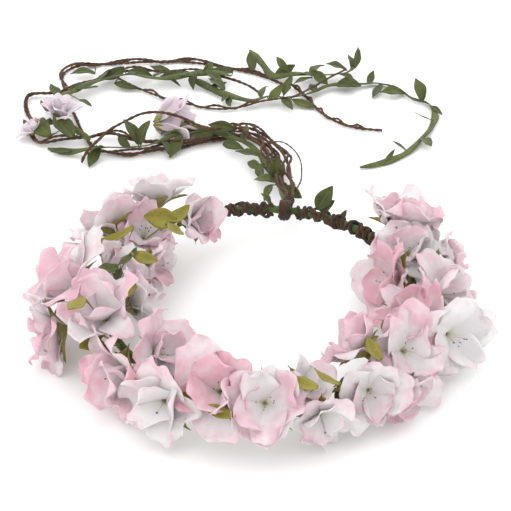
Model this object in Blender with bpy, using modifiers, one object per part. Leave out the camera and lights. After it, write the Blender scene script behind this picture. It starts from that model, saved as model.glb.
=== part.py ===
"""Flower crown: a taped wire hoop dressed with silk blossoms, and a tail of twisted vines tied on behind.

Metres, +Z up. The crown lies on the plane z = 0 with its hoop level. The origin is the middle of the
head opening on that plane, the tail leaves the hoop towards +Y, and the brow side faces -Y.
"""
import math

import bmesh
import bpy
from mathutils import Matrix, Vector

# Driving dimensions
HOOP_RADIUS = 0.0925            # centre of the crown to the hoop's centreline
HOOP_HEIGHT = 0.0240            # hoop's centreline above the plane that the crown lies on
WIRE_RADIUS = 0.0011
TAPE_WALL = 0.0009
TWIST_RADIUS = 0.0006           # paper twist that is wound round the taped hoop
TWIST_PITCH = 0.0072
TWIST_LEFT_END = 112.0          # degrees along the hoop where the paper twist stops
TWIST_RIGHT_END = 50.0
STEM_RADIUS = 0.0009
CALYX_RADIUS = 0.0032
FOOT_RADIUS = 0.0010            # where a sprig's stems are taped along the hoop
FOOT_LENGTH = 0.0080
STEM_RISE = 0.0015              # how far a stem lifts off the hoop before it turns up to its blossom
STEM_STEP = 0.0040
CALYX_LENGTH = 0.0050
PETAL_THICKNESS = 0.0008
LEAF_THICKNESS = 0.0007
LEAF_LENGTH = 0.0200
LEAF_WIDTH = 0.0085
LEAF_TAPER = 0.8                # below 1 a leaf is fuller towards its ends
LEAF_FOLD = 0.3                 # how far a leaf's edges stand above its midrib, as a share of its half width
LEAF_ROWS = 6
LEAF_BLUNT_SHARE = 0.06         # a leaf's outline starts and stops this far in, so that its ends have width
LEAF_TIP_SHARE = 0.97
LEAF_ANGLE = 78.0
LEAF_ROLL = 62.0
LEAF_LEAN = 0.5                 # how far the leaf leans away from the tail, against 1 outwards
VINE_RADIUS = 0.0012
FINE_VINE_RADIUS = 0.0009
RIBBON_RADIUS = 0.0015          # envelope of a flat leaf ribbon that turns over as it runs
THREAD_RADIUS = 0.0006
LOOP_WIDTH = 0.0070             # paper binding that hangs the tail on the hoop
LOOP_WALL = 0.0022
STUB_LENGTH = 0.0150            # hoop's centreline to the end of the bound vines
STUB_NECK_RADIUS = 0.0030
STUB_RADIUS = 0.0038
STUB_DROP = 10.0                # degrees that the bound vines point below level
TOUCH_GAP = 0.0003              # between pieces that rest on each other
SLANT_GAP = 0.0008              # a vine's flat end to the binding, which it leaves at a slant
TURN_CLEARANCE = 0.0004         # between the tail's binding and the hoop that it turns on
SPACING = 3.0                   # vine points, in diameters
TAPE_SEAM = 0.6                 # degrees between the ends of the tape, under the tail's loop
FOOT_ROLLS = (30.0, 100.0)      # lowest and highest place round the hoop for a sprig's foot
STEM_LEADS = (0.4, 0.8)         # shares of the way along to its blossom where a stem is guided

# Sizes that follow
TAPE_RADIUS = WIRE_RADIUS + TOUCH_GAP + TAPE_WALL
TWIST_REACH = TAPE_RADIUS + TOUCH_GAP + TWIST_RADIUS
LOOP_BORE = TAPE_RADIUS + TURN_CLEARANCE
LOOP_RADIUS = LOOP_BORE + LOOP_WALL
TIE_ANGLE = 90.0

# Colours
WHITE = (0.86, 0.83, 0.84)
PINK = (0.86, 0.56, 0.65)
BROWN = (0.17, 0.08, 0.05)
GREEN = (0.13, 0.22, 0.06)
DARK_GREEN = (0.05, 0.09, 0.03)
LIME = (0.42, 0.42, 0.08)
STEEL = (0.55, 0.55, 0.56)

# A blossom is (degrees along the hoop, degrees round the hoop, reach, facing round the hoop, facing
# along the hoop, width, depth). Round the hoop 0 is outwards, 90 up and 180 inwards. Reach, width and
# depth are in millimetres. Each sprig's blossoms branch from one foot that is taped to the hoop.
SPRIGS = [
    [(131, 150, 10, 152, -12, 38, 15), (141, 70, 16, 60, -15, 38, 17), (156, 124, 9, 114, 10, 36, 12)],
    [(152, -36, 10, -40, 0, 26, 13), (163, 58, 16, 48, -12, 38, 17), (172, 164, 20, 172, 10, 26, 15),
     (184, 120, 10, 122, 12, 34, 13)],
    [(204, 150, 14, 160, 5, 34, 18), (194, 36, 20, 44, -5, 42, 16)],
    [(204, -5, 25, -7, 4, 38, 17), (215, 72, 16, 64, 12, 42, 14)],
    [(235, 14, 12, 14, -2, 38, 16), (239, 100, 12, 108, 50, 28, 16), (252, 12, 19, 14, 8, 40, 15)],
    [(267, 52, 10, 48, -5, 36, 14), (281, 34, 18, 38, 3, 40, 15), (294, 62, 8, 62, 12, 29, 10)],
    [(297, 2, 16, -4, 2, 34, 17), (314, 8, 13, 22, -22, 40, 14), (321, 108, 12, 138, -15, 34, 16)],
    [(333, 44, 10, 46, -22, 35, 11), (326, -22, 16, -14, -12, 29, 15), (349, 11, 22, 17, -36, 42, 14)],
    [(348, 90, 9, 88, -14, 34, 10), (343, -42, 10, -44, -8, 22, 12), (4, 44, 14, 46, -8, 38, 16)],
    [(12, 146, 12, 158, -12, 38, 16), (21, 18, 16, 18, 5, 36, 17), (26, 90, 12, 94, -20, 34, 14),
     (34, -38, 10, -40, 0, 26, 13), (40, 65, 14, 71, 12, 40, 18)],
]

# Where vines leave the end of the binding, in millimetres across it: sideways and up
TAIL_STARTS = {
    "vine_long": (1.0, -1.4),
    "vine_return": (1.7, 1.8),
    "vine_arch": (-1.5, 2.0),
    "ribbon_near": (-2.0, -1.3),
}

# Routes of the tail's vines and leaf ribbons, in millimetres: sideways, behind the hoop, and up
TAIL_ROUTES = {
    "vine_long": (VINE_RADIUS, BROWN, [
        (-1, 26, 17), (-8, 45, 12), (-14, 70, 8), (-21, 94, 4), (-32, 112, 2), (-44, 119, 2),
        (-59, 117, 2), (-74, 109, 2), (-89, 98, 2), (-106, 91, 2), (-122, 83, 2), (-138, 82, 2),
        (-151, 87, 2), (-163, 103, 2), (-173, 120, 2), (-182, 138, 2), (-193, 160, 2), (-201, 181, 2),
        (-198, 194, 2), (-188, 202, 2), (-166, 208, 2), (-142, 215, 2), (-116, 220, 2), (-89, 218, 2),
        (-63, 213, 2), (-42, 204, 2), (-27, 194, 2)]),
    "vine_return": (VINE_RADIUS, BROWN, [
        (1, 26, 22), (-3, 44, 18), (-9, 70, 14), (-20, 98, 9), (-34, 118, 6), (-49, 127, 5),
        (-61, 120, 5), (-73, 109, 5), (-87, 98, 5), (-105, 96, 5), (-123, 98, 5), (-142, 102, 5),
        (-157, 95, 5), (-175, 88, 5), (-188, 83, 4), (-196, 90, 3), (-204, 110, 2), (-214, 131, 2),
        (-218, 145, 2), (-213, 151, 3), (-200, 151, 5), (-189, 154, 5), (-179, 168, 5), (-167, 183, 5),
        (-151, 194, 5), (-131, 197, 5), (-105, 199, 5), (-80, 197, 5), (-60, 190, 4), (-48, 181, 3)]),
    "vine_arch": (VINE_RADIUS, BROWN, [
        (-4, 26, 22), (-13, 46, 18), (-21, 69, 15), (-30, 89, 13), (-42, 105, 12),
        (-55, 113, 13), (-67, 105, 15), (-77, 101, 19), (-92, 104, 23), (-107, 106, 24), (-120, 105, 22),
        (-131, 99, 18), (-140, 91, 15), (-145, 81, 13), (-150, 72, 10), (-153, 67, 6), (-154, 64, 3)]),
    "vine_fine": (FINE_VINE_RADIUS, BROWN, [
        (-155, 174.7, 8.6), (-141, 173, 3), (-117, 163, 2), (-96, 157, 2), (-76, 154, 2), (-59, 158, 3),
        (-43, 161, 8), (-31, 166, 8.5), (-20, 174, 7.4), (-8, 188, 8.7), (4, 200, 12), (13, 212, 12)]),
    "vine_end": (VINE_RADIUS, BROWN, [
        (-30, 196, 7), (-21, 191, 3), (-12, 182, 2), (-2, 166, 2), (9, 155, 2), (21, 148, 2),
        (33, 145, 2), (48, 145, 2)]),
    "ribbon_near": (RIBBON_RADIUS, GREEN, [
        (-7, 30, 17), (-14, 52, 12), (-23, 72, 8), (-31, 87, 8), (-42, 99, 9), (-55, 106, 9),
        (-69, 112, 9), (-83, 114, 9), (-94, 106, 9), (-103, 93, 9), (-112, 84, 9), (-125, 79, 9),
        (-140, 78, 8), (-152, 76, 7), (-164, 75, 4), (-175, 78, 2), (-183, 79, 2)]),
    "ribbon_left": (RIBBON_RADIUS, GREEN, [
        (-153, 85, 9), (-165, 95, 9), (-177, 104, 9), (-188, 117, 9), (-193, 130, 9), (-189, 141, 9),
        (-182, 152, 9), (-173, 164, 9), (-161, 174, 9), (-147, 181, 9), (-131, 179, 9), (-117, 181, 9),
        (-102, 190, 9), (-86, 195, 9), (-72, 194, 8)]),
    "ribbon_right": (RIBBON_RADIUS, GREEN, [
        (-101.5, 188, 6.4), (-89, 181, 5), (-77, 173, 5), (-64, 168, 5), (-51, 164, 6), (-39, 172, 6),
        (-24, 174, 5), (-10, 184, 5), (1, 197, 5), (14, 204, 4), (27, 208, 3), (39, 212, 2), (52, 208, 2),
        (65, 194, 2), (77, 189, 2), (84, 174, 2), (82, 153, 2), (76, 137, 2), (69, 119, 2), (59, 107, 2),
        (49, 99, 2), (38, 93, 2)]),
    "ribbon_far": (RIBBON_RADIUS, GREEN, [
        (-65, 233, 10), (-53, 219, 7), (-42, 204.5, 5), (-26, 209, 6), (-11, 210, 6), (2, 212, 6),
        (14, 217, 7), (19, 231, 9), (19, 244, 12)]),
    "thread_loop": (THREAD_RADIUS, BROWN, [
        (-31, 90.5, 15.1), (-18, 93, 17), (-8, 85, 17), (-1, 72, 17), (2, 59, 16), (3, 46, 16),
        (0.5, 27.5, 17.5)]),
}

# Blossoms that lie in the tail: base in the same way as the routes, facing, width and depth
TAIL_BLOSSOMS = {
    "tail_blossom_cup": ((-112.5, 111.7, 10.5), (0.92, 0.40, 0.0), 20, 30),
    "tail_blossom_fold": ((-181, 108.7, 11.4), (0.1, -0.2, 1.0), 32, 10),
    "tail_blossom_white": ((-197, 92.5, 5.3), (-0.5, 0.3, 1.0), 20, 8),
}

# Round details: how many sides or steps each is drawn with
HOOP_STEPS = 64
WIRE_SIDES = 6
TAPE_SIDES = 8
LOOP_SIDES = 16
STUB_SIDES = 12
ROUTE_PARTS = 8                 # pieces that a route is cut in between two of its points
TWIST_STEPS = 8                 # points to each turn of the paper twist
CORNER_COUNT = 10               # round a corolla, two to each petal
LOBE_DEPTH = 0.12               # how far the rim draws in between two petals, as a share of its radius
CUP_RINGS = ((0.13, 0.0), (0.55, 0.35), (1.0, 1.0))


def clear_scene():
    """Start from an empty file."""
    for obj in list(bpy.data.objects):
        bpy.data.objects.remove(obj, do_unlink=True)


def collection(name):
    """A collection linked to the scene."""
    group = bpy.data.collections.new(name)
    bpy.context.scene.collection.children.link(group)
    return group


def material(name, colour, roughness, metallic=0.0):
    """A Principled material of one colour."""
    result = bpy.data.materials.new(name)
    result.use_nodes = True
    shader = result.node_tree.nodes["Principled BSDF"]
    shader.inputs["Base Color"].default_value = (*colour, 1.0)
    shader.inputs["Roughness"].default_value = roughness
    shader.inputs["Metallic"].default_value = metallic
    return result


def place(obj, group, finish):
    """Put an object in its collection with its material, and shade it smooth."""
    for old in list(obj.users_collection):
        old.objects.unlink(obj)
    group.objects.link(obj)
    obj.data.materials.append(finish)
    if obj.type == "MESH":
        obj.data.shade_smooth()
    return obj


def hoop_direction(angle, roll):
    """Unit vector across the hoop at an angle along it, rolled from outwards towards up."""
    along = math.radians(angle)
    around = math.radians(roll)
    outward = Vector((math.cos(along), math.sin(along), 0.0))
    return outward * math.cos(around) + Vector((0.0, 0.0, math.sin(around)))


def hoop_point(angle, roll=0.0, reach=0.0):
    """Point at a reach from the hoop's centreline."""
    along = math.radians(angle)
    centre = Vector((math.cos(along), math.sin(along), 0.0)) * HOOP_RADIUS
    return centre + Vector((0.0, 0.0, HOOP_HEIGHT)) + hoop_direction(angle, roll) * reach


def hoop_tangent(angle):
    """Unit vector along the hoop, towards growing angles."""
    along = math.radians(angle)
    return Vector((-math.sin(along), math.cos(along), 0.0))


def turn_to(facing):
    """Rotation that points local +Z along a direction."""
    return facing.to_track_quat("Z", "Y").to_matrix().to_4x4()


def smooth_route(points, step):
    """Evenly spaced points on a smooth curve through a route's own points."""
    ends = [points[0] * 2 - points[1]] + points + [points[-1] * 2 - points[-2]]
    fine = []
    for before, start, stop, after in zip(ends, ends[1:], ends[2:], ends[3:]):
        for part in range(ROUTE_PARTS):
            t = part / ROUTE_PARTS
            fine.append(0.5 * (2 * start + (stop - before) * t
                               + (2 * before - 5 * start + 4 * stop - after) * t ** 2
                               + (3 * start - before - 3 * stop + after) * t ** 3))
    fine.append(points[-1])
    lengths = [0.0]
    for first, second in zip(fine, fine[1:]):
        lengths.append(lengths[-1] + (second - first).length)
    count = max(2, round(lengths[-1] / step))
    result = []
    place_in = 0
    for index in range(count + 1):
        target = lengths[-1] * index / count
        while place_in < len(fine) - 2 and lengths[place_in + 1] < target:
            place_in += 1
        share = (target - lengths[place_in]) / (lengths[place_in + 1] - lengths[place_in])
        result.append(fine[place_in].lerp(fine[place_in + 1], min(1.0, share)))
    return result


def tube(name, points, radius, group, finish, resolution=2):
    """Round tube with filled caps along a polyline."""
    curve = bpy.data.curves.new(name, "CURVE")
    curve.dimensions = "3D"
    curve.bevel_depth = radius
    curve.bevel_resolution = resolution
    curve.use_fill_caps = True
    spline = curve.splines.new("POLY")
    spline.points.add(len(points) - 1)
    for point, spot in zip(spline.points, points):
        point.co = (*spot, 1.0)
    return place(bpy.data.objects.new(name, curve), group, finish)


def make_hoop(group):
    """Steel wire ring, and the floral tape round it as a sleeve whose ends meet under the tail's loop."""
    bpy.ops.mesh.primitive_torus_add(
        major_segments=HOOP_STEPS, minor_segments=WIRE_SIDES, major_radius=HOOP_RADIUS,
        minor_radius=WIRE_RADIUS, location=(0.0, 0.0, HOOP_HEIGHT))
    wire = bpy.context.active_object
    wire.name = "hoop_wire"
    place(wire, group, material("steel", STEEL, 0.4, 1.0))

    mesh = bpy.data.meshes.new("hoop_tape")
    ring = bmesh.new()
    corners = []
    for index in range(TAPE_SIDES):
        around = math.tau * index / TAPE_SIDES
        spot = (HOOP_RADIUS + TAPE_RADIUS * math.cos(around), 0.0, -TAPE_RADIUS * math.sin(around))
        corners.append(ring.verts.new(spot))
    for first, second in zip(corners, corners[1:] + corners[:1]):
        ring.edges.new((first, second))
    ring.to_mesh(mesh)
    ring.free()
    tape = bpy.data.objects.new("hoop_tape", mesh)
    tape.location = (0.0, 0.0, HOOP_HEIGHT)
    tape.rotation_euler = (0.0, 0.0, math.radians(TIE_ANGLE + TAPE_SEAM / 2))
    sweep = tape.modifiers.new("sweep", "SCREW")
    sweep.angle = math.radians(360.0 - TAPE_SEAM)
    sweep.steps = HOOP_STEPS
    sweep.render_steps = HOOP_STEPS
    sweep.use_merge_vertices = False
    wall = tape.modifiers.new("wall", "SOLIDIFY")
    wall.thickness = TAPE_WALL
    wall.offset = -1.0
    place(tape, group, material("floral_tape", DARK_GREEN, 0.8))


def make_twists(group):
    """Paper twist wound round the back of the hoop, on each side of the tail's loop."""
    finish = material("paper_twist", BROWN, 0.9)
    free = math.degrees((LOOP_WIDTH / 2 + TURN_CLEARANCE + TWIST_RADIUS * 2) / HOOP_RADIUS)
    stretches = {
        "twist_back_left": (TIE_ANGLE + free, TWIST_LEFT_END),
        "twist_back_right": (TIE_ANGLE - free, TWIST_RIGHT_END),
    }
    for name, (start, stop) in stretches.items():
        turns = math.radians(abs(stop - start)) * HOOP_RADIUS / TWIST_PITCH
        steps = round(turns * TWIST_STEPS)
        points = []
        for index in range(steps + 1):
            share = index / steps
            points.append(hoop_point(start + (stop - start) * share, 360.0 * turns * share, TWIST_REACH))
        tube(name, points, TWIST_RADIUS, group, finish, resolution=1)


def stub_point(sideways, upwards, reach):
    """Point on the bound vines: its place across them, and its distance from the hoop's centreline."""
    across = Matrix.Rotation(math.radians(-90.0 - STUB_DROP), 3, "X")
    return hoop_point(TIE_ANGLE) + across @ Vector((sideways, -upwards, reach))


def make_tail_loop(group, cutters):
    """Bound vine ends: a loop that turns on the taped hoop, and a stub that the vines leave."""
    bpy.ops.mesh.primitive_cylinder_add(
        vertices=LOOP_SIDES, radius=LOOP_RADIUS, depth=LOOP_WIDTH, rotation=(0.0, math.pi / 2, 0.0))
    loop = bpy.context.active_object
    loop.name = "tail_loop"
    bpy.ops.mesh.primitive_cone_add(
        vertices=STUB_SIDES, radius1=STUB_NECK_RADIUS, radius2=STUB_RADIUS, depth=STUB_LENGTH - LOOP_BORE)
    stub = bpy.context.active_object
    bpy.ops.mesh.primitive_cylinder_add(
        vertices=LOOP_SIDES, radius=LOOP_BORE, depth=LOOP_WIDTH * 2, rotation=(0.0, math.pi / 2, 0.0))
    bore = bpy.context.active_object
    centre = hoop_point(TIE_ANGLE)
    loop.location = centre
    bore.location = centre
    stub.rotation_euler = (math.radians(-90.0 - STUB_DROP), 0.0, 0.0)
    stub.location = stub_point(0.0, 0.0, (STUB_LENGTH + LOOP_BORE) / 2)
    for tool, action in ((stub, "UNION"), (bore, "DIFFERENCE")):
        tool.hide_render = True
        tool.display_type = "WIRE"
        for old in list(tool.users_collection):
            old.objects.unlink(tool)
        cutters.objects.link(tool)
        cut = loop.modifiers.new(action.lower(), "BOOLEAN")
        cut.operation = action
        cut.object = tool
    return place(loop, group, material("bound_paper", BROWN, 0.9))


def corolla(name, base, facing, width, depth, group, finish):
    """Five-petalled cup: rings that widen to a lobed rim, thickened inwards."""
    shell = bmesh.new()
    centre = shell.verts.new((0.0, 0.0, 0.0))
    rings = []
    for share, rise in CUP_RINGS:
        ring = []
        for index in range(CORNER_COUNT):
            along = math.tau * index / CORNER_COUNT
            lobe = 1.0 - LOBE_DEPTH * share * (index % 2)
            radius = width / 2 * share * lobe
            ring.append(shell.verts.new((radius * math.cos(along), radius * math.sin(along), depth * rise)))
        rings.append(ring)
    for index in range(CORNER_COUNT):
        after = (index + 1) % CORNER_COUNT
        shell.faces.new((centre, rings[0][after], rings[0][index]))
        for lower, upper in zip(rings, rings[1:]):
            shell.faces.new((lower[index], lower[after], upper[after], upper[index]))
    mesh = bpy.data.meshes.new(name)
    shell.to_mesh(mesh)
    shell.free()
    obj = bpy.data.objects.new(name, mesh)
    obj.matrix_world = Matrix.Translation(base) @ turn_to(facing)
    wall = obj.modifiers.new("wall", "SOLIDIFY")
    wall.thickness = PETAL_THICKNESS
    wall.offset = -1.0
    return place(obj, group, finish)


def facing_of(angle, roll, turn):
    """Direction a blossom faces: across the hoop at a roll, turned along the hoop."""
    swing = math.radians(turn)
    return hoop_direction(angle, roll) * math.cos(swing) + hoop_tangent(angle) * math.sin(swing)


def make_blossoms(group):
    """One corolla for each blossom in the sprigs."""
    finish = material("silk", WHITE, 0.75)
    number = 0
    for sprig in SPRIGS:
        for angle, roll, reach, face_roll, face_turn, width, depth in sprig:
            number += 1
            corolla("blossom_%02d" % number, hoop_point(angle, roll, reach / 1000),
                    facing_of(angle, face_roll, face_turn), width / 1000, depth / 1000, group, finish)


def to_mesh(obj, cutters):
    """Mesh copy of a tube with its caps welded, put among the cutters in the tube's stead."""
    bpy.context.view_layer.update()
    mesh = bpy.data.meshes.new_from_object(obj.evaluated_get(bpy.context.evaluated_depsgraph_get()))
    weld = bmesh.new()
    weld.from_mesh(mesh)
    bmesh.ops.remove_doubles(weld, verts=weld.verts, dist=1e-6)
    weld.to_mesh(mesh)
    weld.free()
    name = obj.name
    bpy.data.objects.remove(obj, do_unlink=True)
    solid = bpy.data.objects.new(name, mesh)
    cutters.objects.link(solid)
    solid.hide_render = True
    solid.display_type = "WIRE"
    return solid


def make_sprigs(group, cutters):
    """Branched stems: a foot along the hoop, and a stem to the calyx under each of its blossoms."""
    finish = material("stem", LIME, 0.6)
    foot_reach = TAPE_RADIUS + TOUCH_GAP + FOOT_RADIUS
    half_foot = math.degrees(FOOT_LENGTH / 2 / HOOP_RADIUS)
    for number, sprig in enumerate(SPRIGS, 1):
        name = "sprig_%02d" % number
        middle = sum(unwrap(entry[0], sprig[0][0]) for entry in sprig) / len(sprig)
        mean_roll = sum(entry[1] for entry in sprig) / len(sprig)
        foot_roll = min(FOOT_ROLLS[1], max(FOOT_ROLLS[0], mean_roll))
        along = [hoop_point(middle + half_foot * side, foot_roll, foot_reach) for side in (-1, 0, 1)]
        foot = to_mesh(tube(name, along, FOOT_RADIUS, group, finish, resolution=1), cutters)
        stems = bpy.data.collections.new(name + "_stems")
        cutters.children.link(stems)
        for index, (angle, roll, reach, face_roll, face_turn, _, _) in enumerate(sprig):
            base = hoop_point(angle, roll, reach / 1000)
            facing = facing_of(angle, face_roll, face_turn)
            lead = unwrap(angle, middle) - middle
            near, far = (middle + lead * share for share in STEM_LEADS)
            route = [
                hoop_point(middle, foot_roll, foot_reach),
                hoop_point(near, (foot_roll + roll) / 2, foot_reach + STEM_RISE / 3),
                hoop_point(far, (foot_roll + roll * 3) / 4, foot_reach + STEM_RISE),
                base - facing * CALYX_LENGTH,
            ]
            points = smooth_route(route, STEM_STEP) + [base - facing * TOUCH_GAP]
            stem = tube("%s_stem_%d" % (name, index), points, STEM_RADIUS, group, finish, resolution=1)
            stem.data.splines[0].points[-1].radius = CALYX_RADIUS / STEM_RADIUS
            to_mesh(stem, stems)
        join = foot.modifiers.new("stems", "BOOLEAN")
        join.operation = "UNION"
        join.operand_type = "COLLECTION"
        join.collection = stems
        cutters.objects.unlink(foot)
        foot.hide_render = False
        foot.display_type = "TEXTURED"
        group.objects.link(foot)


def unwrap(angle, near):
    """The same angle, within half a turn of another."""
    return near + (angle - near + 180.0) % 360.0 - 180.0


def leaf(name, base, direction, up, group, finish):
    """Pointed leaf folded a little along its midrib."""
    blade = bmesh.new()
    rows = []
    for index in range(LEAF_ROWS):
        share = index / (LEAF_ROWS - 1)
        outline = min(LEAF_TIP_SHARE, LEAF_BLUNT_SHARE + share * (1.0 - LEAF_BLUNT_SHARE))
        half = LEAF_WIDTH / 2 * math.sin(math.pi * outline) ** LEAF_TAPER
        rows.append([blade.verts.new((side * half, LEAF_LENGTH * share, abs(side) * half * LEAF_FOLD))
                     for side in (-1, 0, 1)])
    for lower, upper in zip(rows, rows[1:]):
        for side in (0, 1):
            blade.faces.new((lower[side], lower[side + 1], upper[side + 1], upper[side]))
    mesh = bpy.data.meshes.new(name)
    blade.to_mesh(mesh)
    blade.free()
    obj = bpy.data.objects.new(name, mesh)
    along = direction.normalized()
    across = along.cross(up).normalized()
    turned = Matrix((across, along, across.cross(along))).transposed().to_4x4()
    obj.matrix_world = Matrix.Translation(base) @ turned
    wall = obj.modifiers.new("wall", "SOLIDIFY")
    wall.thickness = LEAF_THICKNESS
    wall.offset = 0.0
    return place(obj, group, finish)


def make_leaf(group):
    """Leaf that stands beside the tail's loop, tucked under the paper twist."""
    finish = material("leaf", GREEN, 0.7)
    up = Vector((0.0, 0.0, 1.0))
    outward = hoop_direction(LEAF_ANGLE, LEAF_ROLL)
    foot = hoop_point(LEAF_ANGLE, LEAF_ROLL, TWIST_REACH + TWIST_RADIUS + TOUCH_GAP)
    leaf("leaf_back", foot, outward - hoop_tangent(LEAF_ANGLE) * LEAF_LEAN, up, group, finish)


def behind_hoop(spot):
    """Point of the tail, from its millimetres sideways, behind the hoop's centreline and up."""
    return Vector(spot) / 1000 + Vector((0.0, HOOP_RADIUS, 0.0))


def make_tail(group, loop):
    """Vines, leaf ribbons and blossoms of the tail, on a pivot that the binding turns about."""
    pieces = [loop]
    for name, (radius, colour, route) in TAIL_ROUTES.items():
        points = [behind_hoop(point) for point in route]
        if name in TAIL_STARTS:
            sideways, upwards = TAIL_STARTS[name]
            points.insert(0, stub_point(sideways / 1000, upwards / 1000, STUB_LENGTH + SLANT_GAP))
        points = smooth_route(points, radius * 2 * SPACING)
        pieces.append(tube(name, points, radius, group, material(name, colour, 0.85)))
    finish = material("tail_silk", PINK, 0.75)
    for name, (base, facing, width, depth) in TAIL_BLOSSOMS.items():
        pieces.append(corolla(name, behind_hoop(base), Vector(facing).normalized(), width / 1000,
                              depth / 1000, group, finish))
    pivot = bpy.data.objects.new("tail_pivot", None)
    pivot.location = hoop_point(TIE_ANGLE)
    group.objects.link(pivot)
    for piece in pieces:
        piece.parent = pivot
        piece.matrix_parent_inverse = Matrix.Translation(-pivot.location)


def main():
    """Build the crown."""
    clear_scene()
    crown = collection("flower_crown")
    cutters = collection("cutters")
    make_hoop(crown)
    make_twists(crown)
    loop = make_tail_loop(crown, cutters)
    make_blossoms(crown)
    make_sprigs(crown, cutters)
    make_leaf(crown)
    make_tail(crown, loop)


main()
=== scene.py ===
"""Flower crown, dressed: silk petals, sepals, stamens, leaves, twisted paper vines and a taped hoop."""
import math
import random

import bmesh
import bpy
import numpy as np
from mathutils import Matrix, Vector


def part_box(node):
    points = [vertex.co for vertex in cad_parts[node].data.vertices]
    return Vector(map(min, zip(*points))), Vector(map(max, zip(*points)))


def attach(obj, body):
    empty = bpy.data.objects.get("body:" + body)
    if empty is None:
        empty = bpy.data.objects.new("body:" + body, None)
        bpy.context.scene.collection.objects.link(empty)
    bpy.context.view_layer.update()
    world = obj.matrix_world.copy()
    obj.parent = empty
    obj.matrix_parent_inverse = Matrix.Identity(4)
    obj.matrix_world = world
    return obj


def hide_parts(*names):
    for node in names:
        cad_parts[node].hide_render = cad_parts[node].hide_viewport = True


bl_info = {
    "name": "Flower Crown Dresser",
    "version": (1, 0, 0),
    "blender": (4, 5, 0),
    "location": "View3D > Sidebar > Flower Crown",
    "description": "Dresses the frame of a flower crown in silk blossoms, leaves and twisted vines",
    "category": "Object",
}

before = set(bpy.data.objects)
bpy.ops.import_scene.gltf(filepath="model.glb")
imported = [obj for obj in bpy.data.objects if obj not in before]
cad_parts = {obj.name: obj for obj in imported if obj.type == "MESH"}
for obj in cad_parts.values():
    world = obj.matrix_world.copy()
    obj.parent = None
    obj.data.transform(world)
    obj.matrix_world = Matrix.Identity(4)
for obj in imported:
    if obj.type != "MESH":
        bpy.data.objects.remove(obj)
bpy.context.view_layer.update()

# The hoop, read from the frame
TAPE_LOW, TAPE_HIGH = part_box("hoop_tape")
TAPE_RADIUS = (TAPE_HIGH.z - TAPE_LOW.z) / 2
HOOP_HEIGHT = (TAPE_HIGH.z + TAPE_LOW.z) / 2
HOOP_RADIUS = (TAPE_HIGH.x - TAPE_LOW.x) / 2 - TAPE_RADIUS
TIE_ANGLE = 90.0

CROWN = "crown"
TAIL = "tail"

UP = Vector((0.0, 0.0, 1.0))

# Parts of a route between two of its own points, and steps along a vine's and a ribbon's path, in metres
ROUTE_PARTS = 8
VINE_STEP = 0.0011
RIBBON_STEP = 0.0015
# Vines: sides of the section and length of one turn; the thin strands beside them: radius and one turn
VINE_SIDES = 10
VINE_PITCH = 0.0095
COMPANION_RADIUS = 0.00105
COMPANION_PITCH = 0.009
# Ribbon: thickness, and its section's outline across and up, as shares of the half width
RIBBON_WALL = 0.0003
RIBBON_OUTLINE = [
    (-1.0, 0.0), (-0.55, 0.6), (0.0, 1.0), (0.55, 0.6), (1.0, 0.0), (0.55, -0.2), (0.0, 0.1), (-0.55, -0.2)]
RIBBON_ARCH = 0.34
# Tape on the hoop: points along it and round it
TAPE_POINTS = 900
TAPE_SIDES = 14
# Degrees between two points of an arc of the hoop, and a wound strand's points for each millimetre
ARC_STEP = 2.0
STRAND_POINTS = 1.6
# Points along and across a petal, a sepal and a leaf
PETAL_GRID = (13, 13)
SEPAL_GRID = (8, 5)
LEAF_GRID = (11, 7)
# Share of a petal's length where its round outer part starts, and share of petals that are narrow
ROUND_FROM = 0.42
NARROW_SHARE = 0.26
# Distance from the blossom's axis where outer and inner petals and sepals start
OUTER_START = 0.0012
INNER_START = 0.0007
SEPAL_START = 0.0022
# Sepals: how many, thickness, how far below the petals they sit, and their length in the tail as a share
SEPALS = 5
SEPAL_WALL = 0.0005
SEPAL_DROP = 0.0008
TAIL_SEPAL_SHARE = 0.42
LEAF_WALL = 0.0003
# Stalk of a leaf: rows of points and half its width
STALK_ROWS = 3
STALK_HALF = 0.00035
# Longest petal
LONGEST_PETAL = 0.034
# Stamens: points along one, radii, the openness of a heart that shows them all, and how many others show
STAMEN_POINTS = 5
FILAMENT_RADIUS = 0.00011
ANTHER_RADIUS = 0.00044
OPEN_HEART = 0.45
CLOSED_STAMENS = 2
# Height that a thin piece keeps above the plane that the crown lies on, and the share of a dip that is left
FLOOR_CLEAR = 0.0004
DIP_LEFT = 0.02
# Side of the floor, camera's aim, strength of the light from all round, and each lamp's place, size and power
FLOOR_SIDE = 6.0
LOOK_AT = (-0.0159, 0.0727, 0.0)
SKY_STRENGTH = 1.30
LAMPS = {
    "key_light": ((-0.5, -0.6, 1.6), 1.6, 7.0),
    "back_light": ((0.5, 1.1, 1.3), 1.6, 4.0),
}

# Paper twists at the back of the hoop: first and last degrees
TWISTS = {
    "twist_back_left": (95.0, 114.0),
    "twist_back_right": (85.0, 47.0),
}
# Plies of a twist: length of one turn, where it starts, and its thickness and reach as shares
TWIST_PLIES = (
    (0.0066, 0.0, 1.10, 1.0),
    (-0.0105, 0.4, 1.00, 1.22),
    (0.0092, 0.7, 0.95, 1.0),
    (0.0300, 0.2, 0.9, 1.4),
)
# Paper wound on the hoop where it shows between the blossoms: first and last degrees, turns and start
BROW_TURNS = (
    (296.0, 312.0, 2.6, 0.2),
    (176.0, 192.0, 3.2, 0.6),
)

# End of the bound stub that the tail leaves from, in millimetres as the routes are
STUB_END = (0, 15.5, 21.6)

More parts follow.
